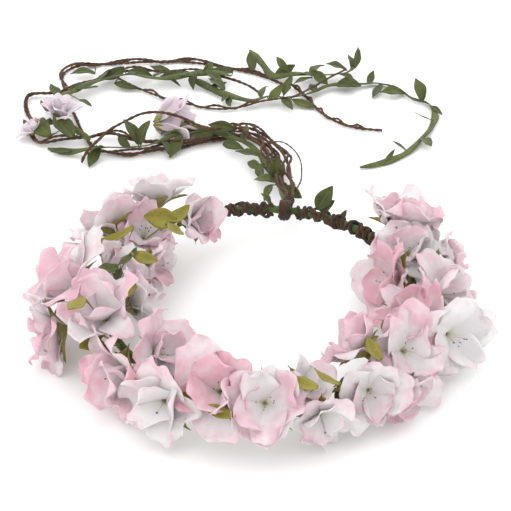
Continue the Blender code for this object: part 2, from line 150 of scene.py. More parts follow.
# Routes of the tail, in millimetres: sideways, behind the hoop, and up. They repeat the frame's.
VINES = {
    "vine_long": [
        (1, 15.3, 19.9), (-1, 26, 17), (-8, 45, 12), (-14, 70, 8), (-21, 94, 4), (-32, 112, 2), (-44, 119, 2),
        (-59, 117, 2), (-74, 109, 2), (-89, 98, 2), (-106, 91, 2), (-122, 83, 2), (-138, 82, 2),
        (-151, 87, 2), (-163, 103, 2), (-173, 120, 2), (-182, 138, 2), (-193, 160, 2), (-201, 181, 2),
        (-198, 194, 2), (-188, 202, 2), (-166, 208, 2), (-142, 215, 2), (-116, 220, 2), (-89, 218, 2),
        (-63, 213, 2), (-42, 204, 2), (-27, 194, 2)],
    "vine_return": [
        (1.7, 15.9, 23), (1, 26, 22), (-3, 44, 18), (-9, 70, 14), (-20, 98, 9), (-34, 118, 6), (-49, 127, 5),
        (-61, 120, 5), (-73, 109, 5), (-87, 98, 5), (-105, 96, 5), (-123, 98, 5), (-142, 102, 5),
        (-157, 95, 5), (-175, 88, 5), (-188, 83, 4), (-196, 90, 3), (-204, 110, 2), (-214, 131, 2),
        (-218, 145, 2), (-213, 151, 3), (-200, 151, 5), (-189, 154, 5), (-179, 168, 5), (-167, 183, 5),
        (-151, 194, 5), (-131, 197, 5), (-105, 199, 5), (-80, 197, 5), (-60, 190, 4), (-48, 181, 3)],
    "vine_arch": [
        (-1.5, 15.9, 23.2), (-4, 26, 22), (-13, 46, 18), (-21, 69, 15), (-30, 89, 13), (-42, 105, 12),
        (-55, 113, 13), (-67, 105, 15), (-77, 101, 19), (-92, 104, 23), (-107, 106, 24), (-120, 105, 22),
        (-131, 99, 18), (-140, 91, 15), (-145, 81, 13), (-150, 72, 10), (-153, 67, 6), (-154, 64, 3)],
    "vine_fine": [
        (-155, 174.7, 8.6), (-141, 173, 3), (-117, 163, 2), (-96, 157, 2), (-76, 154, 2), (-59, 158, 3),
        (-43, 161, 8), (-31, 166, 8.5), (-20, 174, 7.4), (-8, 188, 8.7), (4, 200, 12), (13, 212, 12)],
    "vine_end": [
        (-30, 196, 7), (-21, 191, 3), (-12, 182, 2), (-2, 166, 2), (9, 155, 2), (21, 148, 2),
        (33, 145, 2), (48, 145, 2)],
    "thread_loop": [
        (-31, 90.5, 15.1), (-18, 93, 17), (-8, 85, 17), (-1, 72, 17), (2, 59, 16), (3, 46, 16),
        (0.5, 27.5, 17.5)],
}
RIBBONS = {
    "ribbon_near": [
        (-2, 15.3, 20), (-7, 30, 17), (-14, 52, 12), (-23, 72, 8), (-31, 87, 8), (-42, 99, 9), (-55, 106, 9),
        (-69, 112, 9), (-83, 114, 9), (-94, 106, 9), (-103, 93, 9), (-112, 84, 9), (-125, 79, 9),
        (-140, 78, 8), (-152, 76, 7), (-164, 75, 4), (-175, 78, 2), (-183, 79, 2)],
    "ribbon_left": [
        (-153, 85, 9), (-165, 95, 9), (-177, 104, 9), (-188, 117, 9), (-193, 130, 9), (-189, 141, 9),
        (-182, 152, 9), (-173, 164, 9), (-161, 174, 9), (-147, 181, 9), (-131, 179, 9), (-117, 181, 9),
        (-102, 190, 9), (-86, 195, 9), (-72, 194, 8)],
    "ribbon_right": [
        (-101.5, 188, 6.4), (-89, 181, 5), (-77, 173, 5), (-64, 168, 5), (-51, 164, 6), (-39, 172, 6),
        (-24, 174, 5), (-10, 184, 5), (1, 197, 5), (14, 204, 4), (27, 208, 3), (39, 212, 2), (52, 208, 2),
        (65, 194, 2), (77, 189, 2), (84, 174, 2), (82, 153, 2), (76, 137, 2), (69, 119, 2), (59, 107, 2),
        (49, 99, 2), (38, 93, 2)],
    "ribbon_far": [
        (-65, 233, 10), (-53, 219, 7), (-42, 204.5, 5), (-26, 209, 6), (-11, 210, 6), (2, 212, 6),
        (14, 217, 7), (19, 231, 9), (19, 244, 12)],
}
# Strands that wander along a vine and twist round it: vine, start and end share, reach, turns, phase
COMPANIONS = [
    ("vine_long", 0.02, 0.48, 3.4, 4.0, 0.0),
    ("vine_long", 0.10, 0.42, 5.0, 2.5, 2.2),
    ("vine_long", 0.50, 0.97, 2.6, 5.0, 1.0),
    ("vine_return", 0.05, 0.45, 3.6, 3.5, 3.9),
    ("vine_return", 0.55, 0.96, 3.0, 4.5, 0.4),
    ("vine_arch", 0.05, 0.60, 2.8, 3.0, 5.2),
    ("vine_end", 0.00, 0.90, 1.4, 5.0, 1.7),
    ("vine_long", 0.04, 0.30, 5.5, 2.0, 4.2),
    ("vine_return", 0.02, 0.30, 5.0, 2.5, 1.1),
    ("vine_long", 0.62, 0.95, 3.5, 3.5, 3.3),
    ("vine_arch", 0.02, 0.40, 4.5, 2.0, 2.4),
    ("vine_return", 0.28, 0.60, 3.0, 4.0, 2.8),
    ("vine_fine", 0.05, 0.60, 2.0, 4.0, 0.9),
]
# Leaves of the tail, in millimetres as the routes are: piece that carries it, base, tip, width, turn
TAIL_LEAVES = [
    ("vine_long", (-177, 188, 3), (-195, 182, 4), 7.5, 10),
    ("ribbon_left", (-154, 190, 9), (-168, 178, 4), 9.0, -20),
    ("ribbon_left", (-150, 186, 9), (-132, 189, 4), 6.5, 15),
    ("vine_return", (-121, 197, 6), (-138, 205, 4), 6.0, 0),
    ("ribbon_left", (-110, 193, 9), (-126, 186, 6), 6.5, -10),
    ("ribbon_left", (-100, 194, 9), (-98, 177, 3), 7.5, 25),
    ("ribbon_left", (-91, 195, 9), (-77, 181, 4), 8.5, -15),
    ("ribbon_right", (-70, 172, 4), (-73, 160, 5), 5.0, 20),
    ("ribbon_left", (-72, 200, 8), (-90, 201, 8), 7.0, 0),
    ("vine_fine", (-158, 173, 5), (-140, 171, 3), 6.0, 15),
    ("vine_return", (-120, 189, 5), (-109, 182, 2), 2.6, 0),
    ("ribbon_left", (-186, 147, 9), (-178, 163, 8), 7.0, 30),
    ("ribbon_left", (-176, 138, 9), (-164, 130, 9), 5.0, -25),
    ("ribbon_left", (-194, 117, 9), (-203, 132, 9), 6.0, 40),
    ("ribbon_left", (-166, 85, 10), (-183, 98, 20), 15.0, 20),
    ("ribbon_left", (-183, 88, 7), (-197, 103, 10), 13.0, -30),
    ("vine_return", (-201, 96, 4), (-209, 107, 7), 5.0, 0),
    ("ribbon_near", (-164, 74, 5), (-180, 75, 2), 4.5, 0),
    ("ribbon_near", (-146, 79, 8), (-148, 61, 2), 8.5, -10),
    ("ribbon_near", (-118, 84, 10), (-130, 92, 24), 9.0, 20),
    ("ribbon_near", (-116, 83, 10), (-111, 94, 24), 9.0, -15),
    ("ribbon_near", (-91, 102, 9), (-95, 82, 2), 9.5, 10),
    ("ribbon_near", (-85, 112, 10), (-106, 103, 8), 8.5, 0),
    ("ribbon_near", (-54, 112, 12), (-73, 110, 15), 8.0, -30),
    ("ribbon_near", (-60, 98, 8), (-44, 92, 9), 7.5, 20),
    ("vine_long", (-59, 211, 4), (-64, 226, 12), 8.0, 15),
    ("ribbon_far", (-31, 210, 7), (-42, 222, 12), 6.0, -30),
    ("ribbon_right", (-74, 175, 6), (-88, 185, 9), 9.0, 25),
    ("ribbon_right", (-38, 166, 6), (-31, 181, 12), 7.5, 10),
    ("ribbon_right", (-29, 176, 6), (-25, 190, 15), 7.0, -10),
    ("ribbon_far", (-12, 205, 6), (-24, 192, 7), 6.0, 20),
    ("ribbon_right", (-22, 172, 5), (-3, 168, 3), 7.0, 0),
    ("ribbon_right", (0, 199, 6), (-13, 207, 12), 8.0, -20),
    ("ribbon_far", (12, 218, 8), (-3, 214, 14), 8.5, 15),
    ("ribbon_far", (18, 222, 8), (19, 234, 20), 6.0, 40),
    ("ribbon_right", (8, 203, 5), (26, 199, 6), 10.0, 0),
    ("ribbon_right", (41, 209, 4), (36, 190, 2), 7.0, 20),
    ("ribbon_right", (58, 200, 3), (41, 194, 5), 9.0, 0),
    ("ribbon_right", (73, 191, 3), (66, 202, 15), 9.5, 10),
    ("ribbon_right", (82, 164, 3), (69, 168, 6), 2.6, 60),
    ("ribbon_right", (80, 184, 3), (89, 173, 3), 4.5, 0),
    ("ribbon_right", (77, 138, 3), (85, 123, 6), 8.5, -15),
    ("ribbon_right", (68, 119, 3), (57, 124, 7), 2.2, 0),
    ("ribbon_right", (55, 103, 3), (60, 113, 7), 3.5, 0),
    ("ribbon_near", (-15, 52, 13), (-14, 52, 31), 9.5, 0),
    ("ribbon_near", (-6, 36, 18), (7, 26, 17), 8.0, 20),
    ("ribbon_near", (-16, 42, 14), (-18, 25, 12), 5.5, 0),
    ("ribbon_near", (-31, 74, 9), (-24, 57, 8), 7.0, 30),
    ("ribbon_near", (-28, 70, 9), (-39, 80, 6), 6.5, -30),
]
# Ribbons that also carry leaves at even steps: first and last share of the ribbon, and how many
GARLANDS = {
    "ribbon_near": (0.10, 0.90, 9),
    "ribbon_left": (0.10, 0.97, 9),
    "ribbon_right": (0.03, 0.50, 7),
    "ribbon_far": (0.25, 0.90, 5),
}
# Leaves on the hoop: degrees along it and round it, turn along it, length, width and turn about the midrib
HOOP_LEAVES = [
    (96, 70, 40, 10, 5.0, 20),
    (75, 66, -35, 12, 7.0, 10),
    (67, 60, -20, 7, 3.5, 40),
    (178, 78, 20, 13, 8.5, 15),
    (168, 88, -40, 14, 8.0, 10),
    (174, 92, 60, 13, 7.0, 20),
    (186, 84, 30, 12, 6.5, 30),
    (232, 60, 20, 12, 5.0, 10),
    (306, -30, 10, 12, 6.0, 25),
]

# Leaves and sepals that stand out among the blossoms, in millimetres of the frame: base, tip, width
CROWN_BLADES = {
    "leaf": [
        ((-81, -18, 50), (-72, -9, 57), 9),
        ((-81, -20, 50), (-90, -29, 55), 8),
        ((-81, -36, 47), (-77, -27, 55), 7),
        ((-80, -35, 46), (-86, -44, 50), 6),
    ],
    "sepal": [
        ((-57, 30, 52), (-76, 25, 56), 13),
        ((-61, 28, 52), (-51, 40, 57), 9),
        ((-61, 26, 52), (-50, 17, 51), 8),
        ((-81, 19, 52), (-107, -3, 51), 7),
        ((-85, 3, 48), (-102, -5, 49), 10),
        ((-75, -10, 54), (-57, -21, 58), 8),
        ((-66, -37, 51), (-79, -48, 51), 10),
        ((-90, -62, 58), (-94, -78, 61), 10),
        ((-80, -69, 39), (-89, -79, 35), 13),
        ((-83, -74, 39), (-72, -84, 34), 8),
        ((-55, -67, 35), (-37, -77, 29), 9),
        ((-10, -117, 37), (8, -123, 38), 7),
        ((1, -113, 33), (17, -118, 30), 9),
        ((79, -73, 46), (70, -65, 55), 9),
        ((49, -104, 48), (32, -101, 51), 7),
        ((60, -97, 46), (45, -92, 51), 6),
        ((79, -43, 40), (80, -39, 50), 8),
    ],
}

# How each blossom wears: how open (0 cup, 1 flat), how pink, how ruffled, size against the frame's,
# and how open its heart is
WEAR = {
    1: (0.35, 0.50, 1.1, 0.86, 0.3), 2: (0.70, 0.10, 0.9, 1.28, 0.3), 3: (0.60, 0.35, 1.1, 1.26, 0.7),
    4: (0.60, 0.40, 1.0, 1.20, 0.2), 5: (0.60, 0.35, 1.0, 1.30, 0.2), 6: (0.50, 0.20, 1.2, 1.24, 0.2),
    7: (0.45, 0.10, 1.1, 1.02, 0.1), 8: (0.60, 0.10, 0.8, 1.30, 0.6), 9: (0.85, 0.55, 1.0, 1.44, 0.1),
    10: (0.60, 0.60, 1.2, 1.30, 0.2), 11: (0.80, 0.60, 1.0, 1.36, 0.1), 12: (0.70, 0.80, 1.2, 1.46, 0.1),
    13: (0.85, 0.45, 1.0, 1.55, 0.1), 14: (0.80, 0.05, 1.1, 1.22, 0.4), 15: (0.80, 0.80, 1.1, 1.50, 0.1),
    16: (0.85, 0.25, 1.2, 1.24, 0.8), 17: (0.60, 0.25, 1.1, 1.20, 0.2), 18: (0.70, 0.05, 1.0, 1.18, 0.3),
    19: (0.85, 0.15, 0.8, 1.10, 1.0), 20: (0.60, 0.75, 1.1, 1.30, 0.2), 21: (0.90, 0.55, 1.0, 1.45, 0.9),
    22: (0.55, 0.55, 1.0, 1.40, 0.3), 23: (0.95, 0.05, 0.8, 1.26, 0.9), 24: (0.80, 0.65, 1.1, 1.40, 0.1),
    25: (0.50, 0.30, 1.0, 1.24, 0.2), 26: (0.75, 0.45, 1.0, 1.36, 0.1), 27: (0.80, 0.65, 1.0, 1.42, 0.5),
    28: (0.75, 0.35, 1.2, 1.30, 0.2), 29: (0.80, 0.30, 1.0, 1.34, 0.1), 30: (0.60, 0.40, 1.0, 1.20, 0.2),
    31: (0.55, 0.50, 1.2, 1.34, 0.2),
}
PINK_SILK = (1, 6, 10, 12, 15, 24, 27)
TAIL_WEAR = {
    "tail_blossom_cup": (-0.30, 0.25, 0.8, 1.15, 0.1),
    "tail_blossom_fold": (0.45, 0.25, 0.9, 0.95, 0.1),
    "tail_blossom_white": (0.70, 0.05, 0.8, 1.20, 0.1),
}


# ---------------------------------------------------------------- settings

class BlossomSettings(bpy.types.PropertyGroup):
    """Sizes and colours of the silk blossoms"""
    petal_count: bpy.props.IntProperty(
        name="Petals", description="Petals in each layer of a blossom", default=5, min=4, max=8)
    petal_wall: bpy.props.FloatProperty(
        name="Silk Thickness", description="Thickness of the silk", default=0.00022, unit="LENGTH")
    body: bpy.props.FloatVectorProperty(
        name="Petal Body", description="Colour of the silk", default=(0.82, 0.785, 0.79), subtype="COLOR")
    blush: bpy.props.FloatVectorProperty(
        name="Petal Blush", description="Colour brushed on the petals' rims", default=(0.77, 0.40, 0.50),
        subtype="COLOR")
    heart: bpy.props.FloatVectorProperty(
        name="Petal Heart", description="Colour at the petals' roots", default=(0.74, 0.76, 0.55),
        subtype="COLOR")
    sepal: bpy.props.FloatVectorProperty(
        name="Sepal", description="Colour of sepals and stems", default=(0.19, 0.165, 0.020),
        subtype="COLOR")
    stamens: bpy.props.IntProperty(
        name="Stamens", description="Stamens in a blossom", default=6, min=1, max=16)


class TailSettings(bpy.types.PropertyGroup):
    """Sizes and colours of the tail"""
    vine_diameter: bpy.props.FloatProperty(
        name="Vine Diameter", description="Across a twisted paper vine", default=0.0024, unit="LENGTH")
    fine_diameter: bpy.props.FloatProperty(
        name="Fine Vine Diameter", description="Across the fine vine", default=0.0018, unit="LENGTH")
    thread_diameter: bpy.props.FloatProperty(
        name="Thread Diameter", description="Across the loose loop", default=0.0012, unit="LENGTH")
    ribbon_width: bpy.props.FloatProperty(
        name="Ribbon Width", description="Width of a flat leaf ribbon", default=0.0058, unit="LENGTH")
    paper: bpy.props.FloatVectorProperty(
        name="Vine Paper", description="Colour of the twisted paper", default=(0.078, 0.038, 0.019),
        subtype="COLOR")
    leaf: bpy.props.FloatVectorProperty(
        name="Leaf", description="Colour of leaves and ribbons", default=(0.064, 0.090, 0.014),
        subtype="COLOR")


class HoopSettings(bpy.types.PropertyGroup):
    """Sizes and colours of the hoop"""
    tape_pitch: bpy.props.FloatProperty(
        name="Tape Pitch", description="Along the hoop from one turn of tape to the next", default=0.0075,
        unit="LENGTH")
    strand_diameter: bpy.props.FloatProperty(
        name="Strand Diameter", description="Across a strand wound round the hoop", default=0.0022,
        unit="LENGTH")
    tape: bpy.props.FloatVectorProperty(
        name="Floral Tape", description="Colour of the tape", default=(0.040, 0.072, 0.020),
        subtype="COLOR")


class StageSettings(bpy.types.PropertyGroup):
    """Camera and light"""
    azimuth: bpy.props.FloatProperty(
        name="Azimuth", description="Camera's turn to the right of the brow", default=math.radians(10.0),
        subtype="ANGLE")
    elevation: bpy.props.FloatProperty(
        name="Elevation", description="Camera's height above level", default=math.radians(35.97),
        subtype="ANGLE")
    distance: bpy.props.FloatProperty(
        name="Distance", description="Camera to the point it looks at", default=1.0, unit="LENGTH")
    lens: bpy.props.FloatProperty(
        name="Lens", description="Focal length", default=109.3, unit="CAMERA")


# ---------------------------------------------------------------- shader groups

def new_group(name, inputs, outputs):
    """Shader node group with its sockets, and its input and output nodes."""
    tree = bpy.data.node_groups.new(name, "ShaderNodeTree")
    for label, kind, value in inputs:
        socket = tree.interface.new_socket(label, in_out="INPUT", socket_type=kind)
        socket.default_value = value
    for label, kind in outputs:
        tree.interface.new_socket(label, in_out="OUTPUT", socket_type=kind)
    return tree, tree.nodes.new("NodeGroupInput"), tree.nodes.new("NodeGroupOutput")


def math_node(tree, operation, first, second=None, third=None):
    """Math node whose inputs are numbers or sockets; gives its output."""
    node = tree.nodes.new("ShaderNodeMath")
    node.operation = operation
    for index, value in enumerate((first, second, third)):
        if value is None:
            continue
        if isinstance(value, (int, float)):
            node.inputs[index].default_value = value
        else:
            tree.links.new(value, node.inputs[index])
    return node.outputs[0]


def noise_node(tree, vector, scale, detail=3.0, roughness=0.5):
    """Noise on a vector; gives its value."""
    node = tree.nodes.new("ShaderNodeTexNoise")
    tree.links.new(vector, node.inputs["Vector"])
    if isinstance(scale, (int, float)):
        node.inputs["Scale"].default_value = scale
    else:
        tree.links.new(scale, node.inputs["Scale"])
    node.inputs["Detail"].default_value = detail
    node.inputs["Roughness"].default_value = roughness
    return node.outputs["Fac"]


def mix_colour(tree, factor, first, second, blend="MIX"):
    """Mix of two colours, each a socket or three numbers; gives its output."""
    node = tree.nodes.new("ShaderNodeMix")
    node.data_type = "RGBA"
    node.blend_type = blend
    for value, socket in ((factor, node.inputs[0]), (first, node.inputs[6]), (second, node.inputs[7])):
        if isinstance(value, (int, float)):
            socket.default_value = value
        elif isinstance(value, bpy.types.NodeSocket):
            tree.links.new(value, socket)
        else:
            socket.default_value = (*value, 1.0)
    return node.outputs[2]


def weave_group():
    """Fine plain weave over a piece's UV map, and soft creases."""
    tree, entry, leave = new_group(
        "Silk Weave",
        [("UV", "NodeSocketVector", (0, 0, 0)), ("Threads", "NodeSocketFloat", 60.0),
         ("Veins", "NodeSocketFloat", 9.0)],
        [("Height", "NodeSocketFloat"), ("Vein", "NodeSocketFloat")])
    split = tree.nodes.new("ShaderNodeSeparateXYZ")
    tree.links.new(entry.outputs["UV"], split.inputs[0])
    turn = math_node(tree, "MULTIPLY", entry.outputs["Threads"], math.tau)
    warp = math_node(tree, "SINE", math_node(tree, "MULTIPLY", split.outputs[0], turn))
    weft = math_node(tree, "SINE", math_node(tree, "MULTIPLY", split.outputs[1], turn))
    cloth = math_node(tree, "MULTIPLY", math_node(tree, "MULTIPLY", warp, weft), 0.25)
    across = math_node(tree, "MULTIPLY", math_node(tree, "SUBTRACT", split.outputs[0], 0.5),
                       entry.outputs["Veins"])
    # the veins fan out from the root
    fan = math_node(tree, "DIVIDE", across, math_node(tree, "ADD", split.outputs[1], 0.45))
    combine = tree.nodes.new("ShaderNodeCombineXYZ")
    tree.links.new(fan, combine.inputs[0])
    tree.links.new(split.outputs[1], combine.inputs[1])
    vein = noise_node(tree, combine.outputs[0], 1.6, 2.0, 0.6)
    tree.links.new(math_node(tree, "ADD", math_node(tree, "MULTIPLY", vein, 1.2), cloth),
                   leave.inputs["Height"])
    tree.links.new(vein, leave.inputs["Vein"])
    return tree


def mottle_group():
    """Two sizes of soft patches on the object's coordinates."""
    tree, entry, leave = new_group(
        "Mottle",
        [("Vector", "NodeSocketVector", (0, 0, 0)), ("Large", "NodeSocketFloat", 60.0),
         ("Small", "NodeSocketFloat", 400.0)],
        [("Value", "NodeSocketFloat")])
    large = noise_node(tree, entry.outputs["Vector"], entry.outputs["Large"])
    small = noise_node(tree, entry.outputs["Vector"], entry.outputs["Small"])
    both = math_node(tree, "ADD", math_node(tree, "MULTIPLY", large, 0.6),
                     math_node(tree, "MULTIPLY", small, 0.4))
    tree.links.new(both, leave.inputs["Value"])
    return tree


def fibre_group():
    """Twisted paper: fibres and creases that wind along a strand, from its along and around attributes."""
    tree, entry, leave = new_group(
        "Twisted Fibre",
        [("Along", "NodeSocketFloat", 0.0), ("Around", "NodeSocketFloat", 0.0),
         ("Pitch", "NodeSocketFloat", 0.006)],
        [("Value", "NodeSocketFloat"), ("Height", "NodeSocketFloat")])
    turns = math_node(tree, "DIVIDE", entry.outputs["Along"], entry.outputs["Pitch"])
    winding = math_node(tree, "ADD", turns, entry.outputs["Around"])
    wave = math_node(tree, "SINE", math_node(tree, "MULTIPLY", winding, math.tau))
    crease = math_node(tree, "ABSOLUTE", wave)
    combine = tree.nodes.new("ShaderNodeCombineXYZ")
    tree.links.new(math_node(tree, "MULTIPLY", winding, 5.0), combine.inputs[0])
    tree.links.new(math_node(tree, "MULTIPLY", entry.outputs["Along"], 90.0), combine.inputs[1])
    fibre = noise_node(tree, combine.outputs[0], 2.0, 4.0, 0.65)
    tree.links.new(fibre, leave.inputs["Value"])
    height = math_node(tree, "ADD", math_node(tree, "MULTIPLY", crease, 0.6), fibre)
    tree.links.new(height, leave.inputs["Height"])
    return tree


# Shader groups made so far, by name
GROUPS = {}


def group_node(tree, name, links):
    """A placed shader group, with inputs given as sockets or numbers."""
    makers = {"Silk Weave": weave_group, "Mottle": mottle_group, "Twisted Fibre": fibre_group}
    if name not in GROUPS:
        GROUPS[name] = makers[name]()
    node = tree.nodes.new("ShaderNodeGroup")
    node.node_tree = GROUPS[name]
    for label, value in links.items():
        if isinstance(value, bpy.types.NodeSocket):
            tree.links.new(value, node.inputs[label])
        else:
            node.inputs[label].default_value = value
    return node


# ---------------------------------------------------------------- materials

def new_material(name, roughness, **constants):
    """A Principled material; constants are set on the shader's own sockets."""
    material = bpy.data.materials.new(name)
    material.use_nodes = True
    shader = material.node_tree.nodes["Principled BSDF"]
    shader.inputs["Roughness"].default_value = roughness
    for label, value in constants.items():
        shader.inputs[label.replace("_", " ")].default_value = value
    return material, material.node_tree, shader


def attribute(tree, name):
    """Value of a piece's own attribute."""
    node = tree.nodes.new("ShaderNodeAttribute")
    node.attribute_name = name
    return node.outputs["Fac"]


def bump(tree, shader, height, distance, strength=1.0):
    """Bump from a height to the shader's normal."""
    node = tree.nodes.new("ShaderNodeBump")
    node.inputs["Distance"].default_value = distance
    node.inputs["Strength"].default_value = strength
    tree.links.new(height, node.inputs["Height"])
    tree.links.new(node.outputs["Normal"], shader.inputs["Normal"])


def ramp(tree, value, low, high):
    """Value rising smoothly from 0 at low to 1 at high."""
    node = tree.nodes.new("ShaderNodeMapRange")
    node.interpolation_type = "SMOOTHSTEP"
    node.inputs["From Min"].default_value = low
    node.inputs["From Max"].default_value = high
    tree.links.new(value, node.inputs["Value"])
    return node.outputs["Result"]


def mottled(tree, large, small):
    """Soft patches of two scales over a piece, on its own coordinates."""
    coords = tree.nodes.new("ShaderNodeTexCoord")
    patches = group_node(tree, "Mottle", {
        "Vector": coords.outputs["Object"], "Large": large, "Small": small})
    return patches.outputs["Value"]


def uv_parts(tree):
    """A piece's UV coordinates: whole, across it from 0 to 1, and along it."""
    coords = tree.nodes.new("ShaderNodeTexCoord")
    split = tree.nodes.new("ShaderNodeSeparateXYZ")
    tree.links.new(coords.outputs["UV"], split.inputs[0])
    return coords.outputs["UV"], split.outputs[0], split.outputs[1]


def off_middle(tree, across):
    """Distance from the midline, from 0 there to 1 at either side."""
    return math_node(tree, "ABSOLUTE", math_node(tree, "MULTIPLY_ADD", across, 2.0, -1.0))


def shaded(colour, share):
    """A colour made darker or lighter by a share."""
    return tuple(value * share for value in colour)


def silk(name, settings, warmth=(1.0, 1.0, 1.0), depth=1.0):
    """Petal silk: white body, greenish heart, blush that creeps in from the rim where the flush is strong."""
    material, tree, shader = new_material(
        name, 0.72, Subsurface_Weight=0.35, Subsurface_Radius=(1.0, 0.90, 0.93), Subsurface_Scale=0.004,
        Sheen_Weight=0.18, Sheen_Roughness=0.5, Specular_IOR_Level=0.25)
    uv, across, along = uv_parts(tree)
    flush = attribute(tree, "flush")
    patches = mottled(tree, 45.0, 170.0)
    weave = group_node(tree, "Silk Weave", {"UV": uv})
    rim = math_node(tree, "MAXIMUM", along, math_node(tree, "MULTIPLY", off_middle(tree, across), 0.80))
    # how far in from the rim the blush reaches follows the flush and the patches
    reach = math_node(tree, "ADD", math_node(tree, "MULTIPLY", flush, 0.85),
                      math_node(tree, "MULTIPLY_ADD", patches, 2.8, -1.45))
    blushed = ramp(tree, math_node(tree, "ADD", rim, reach), 0.70, 1.75)
    body = tuple(a * b for a, b in zip(settings.body, warmth))
    blush = (settings.blush[0], settings.blush[1] * depth, settings.blush[2] * depth)
    colour = mix_colour(tree, math_node(tree, "MULTIPLY", blushed, 0.95), body, blush)
    vein = ramp(tree, weave.outputs["Vein"], 0.30, 0.75)
    colour = mix_colour(tree, math_node(tree, "MULTIPLY", vein, 0.16), colour, (0.70, 0.60, 0.68))
    root = math_node(tree, "SUBTRACT", 1.0, ramp(tree, along, 0.02, 0.30))
    colour = mix_colour(tree, math_node(tree, "MULTIPLY", root, 0.75), colour, tuple(settings.heart))
    tree.links.new(colour, shader.inputs["Base Color"])
    bump(tree, shader, weave.outputs["Height"], 0.0006, 0.5)
    return material


def fuzzy_green(name, colour, other):
    """Felted stem and sepal cloth: two greens in soft patches."""
    material, tree, shader = new_material(name, 0.66, Sheen_Weight=0.15, Specular_IOR_Level=0.3)
    patches = mottled(tree, 90.0, 900.0)
    blend = ramp(tree, patches, 0.35, 0.65)
    tree.links.new(mix_colour(tree, blend, colour, other), shader.inputs["Base Color"])
    bump(tree, shader, patches, 0.0004, 0.6)
    return material


def leaf_cloth(name, colour):
    """Printed leaf: midrib and side veins from the UV map, blotches, and darker where the flush is strong."""
    material, tree, shader = new_material(name, 0.58, Sheen_Weight=0.12, Specular_IOR_Level=0.35)
    _, across, along = uv_parts(tree)
    side = off_middle(tree, across)
    midrib = math_node(tree, "SUBTRACT", 1.0, ramp(tree, side, 0.03, 0.16))
    slanted = math_node(tree, "MULTIPLY_ADD", side, -0.5, along)
    herring = math_node(tree, "SINE", math_node(tree, "MULTIPLY", slanted, 58.0))
    side_veins = ramp(tree, herring, 0.72, 1.0)
    veins = math_node(tree, "MAXIMUM", midrib, math_node(tree, "MULTIPLY", side_veins, 0.55))
    patches = mottled(tree, 70.0, 700.0)
    blotch = ramp(tree, patches, 0.34, 0.66)
    dark = shaded(colour, 0.55)
    light = (colour[0] * 1.75, colour[1] * 1.50, colour[2] * 1.7)
    pale = (colour[0] * 2.6, colour[1] * 2.0, colour[2] * 2.6)
    base = mix_colour(tree, blotch, dark, light)
    base = mix_colour(tree, attribute(tree, "flush"), base, dark)
    base = mix_colour(tree, math_node(tree, "MULTIPLY", veins, 0.35), base, pale)
    tree.links.new(base, shader.inputs["Base Color"])
    bump(tree, shader, math_node(tree, "SUBTRACT", patches, veins), 0.0004, 0.6)
    return material


def paper(name, colour, light, pitch=0.006, roughness=0.82):
    """Twisted crepe paper, or wound tape: fibres and creases in two tones."""
    material, tree, shader = new_material(name, roughness, Sheen_Weight=0.10, Specular_IOR_Level=0.3)
    fibre = group_node(tree, "Twisted Fibre", {
        "Along": attribute(tree, "along"), "Around": attribute(tree, "around"), "Pitch": pitch})
    tone = math_node(tree, "ADD", math_node(tree, "MULTIPLY", fibre.outputs["Value"], 0.5),
                     math_node(tree, "MULTIPLY", mottled(tree, 80.0, 500.0), 0.5))
    base = mix_colour(tree, ramp(tree, tone, 0.36, 0.64), shaded(colour, 0.55), light)
    tree.links.new(base, shader.inputs["Base Color"])
    bump(tree, shader, fibre.outputs["Height"], 0.0006, 0.8)
    return material


def steel(name):
    """Drawn wire with a thin film of rust in patches."""
    material, tree, shader = new_material(name, 0.38, Metallic=1.0)
    patches = mottled(tree, 120.0, 1500.0)
    rust = ramp(tree, patches, 0.4, 0.7)
    base = mix_colour(tree, rust, (0.55, 0.55, 0.56), (0.40, 0.36, 0.33))
    tree.links.new(base, shader.inputs["Base Color"])
    bump(tree, shader, patches, 0.0001)
    return material


def plain(name, colour, other, roughness, scale=600.0):
    """Small parts: two close tones in a fine grain."""
    material, tree, shader = new_material(name, roughness)
    blend = ramp(tree, mottled(tree, scale / 4, scale), 0.35, 0.65)
    tree.links.new(mix_colour(tree, blend, colour, other), shader.inputs["Base Color"])
    return material


# Materials made so far, by name
MATERIALS = {}


def finish(name):
    """The material of a finish, made once."""
    if name in MATERIALS:
        return MATERIALS[name]
    scene = bpy.context.scene
    blossom = scene.crown_blossom
    tail = scene.crown_tail
    hoop = scene.crown_hoop
    brown = tail.paper
    makers = {
        "silk_blush": lambda: silk(name, blossom),
        "silk_pink": lambda: silk(name, blossom, (1.0, 0.94, 0.965), 0.84),
        "silk_lavender": lambda: silk(name, blossom, (0.95, 0.91, 0.98)),
        "stem_lime": lambda: fuzzy_green(name, blossom.sepal, (0.285, 0.245, 0.045)),
        "leaf_green": lambda: leaf_cloth(name, tail.leaf),
        "paper_vine": lambda: paper(name, brown, shaded(brown, 1.75)),
        "paper_binding": lambda: paper(name, shaded(brown, 0.6), brown, 0.004),
        "paper_wound": lambda: paper(name, shaded(brown, 0.55), shaded(brown, 1.1)),
        "floral_tape": lambda: paper(name, hoop.tape, (0.085, 0.135, 0.035), hoop.tape_pitch, 0.62),
        "steel_wire": lambda: steel(name),
        "filament": lambda: plain(name, (0.62, 0.55, 0.50), (0.50, 0.36, 0.34), 0.6),
        "anther": lambda: plain(name, (0.028, 0.014, 0.010), (0.06, 0.030, 0.018), 0.7),
        "floor": lambda: plain(name, (0.96, 0.96, 0.96), (0.97, 0.97, 0.97), 0.9, 40.0),
    }
    MATERIALS[name] = makers[name]()
    return MATERIALS[name]


# ---------------------------------------------------------------- mesh helpers

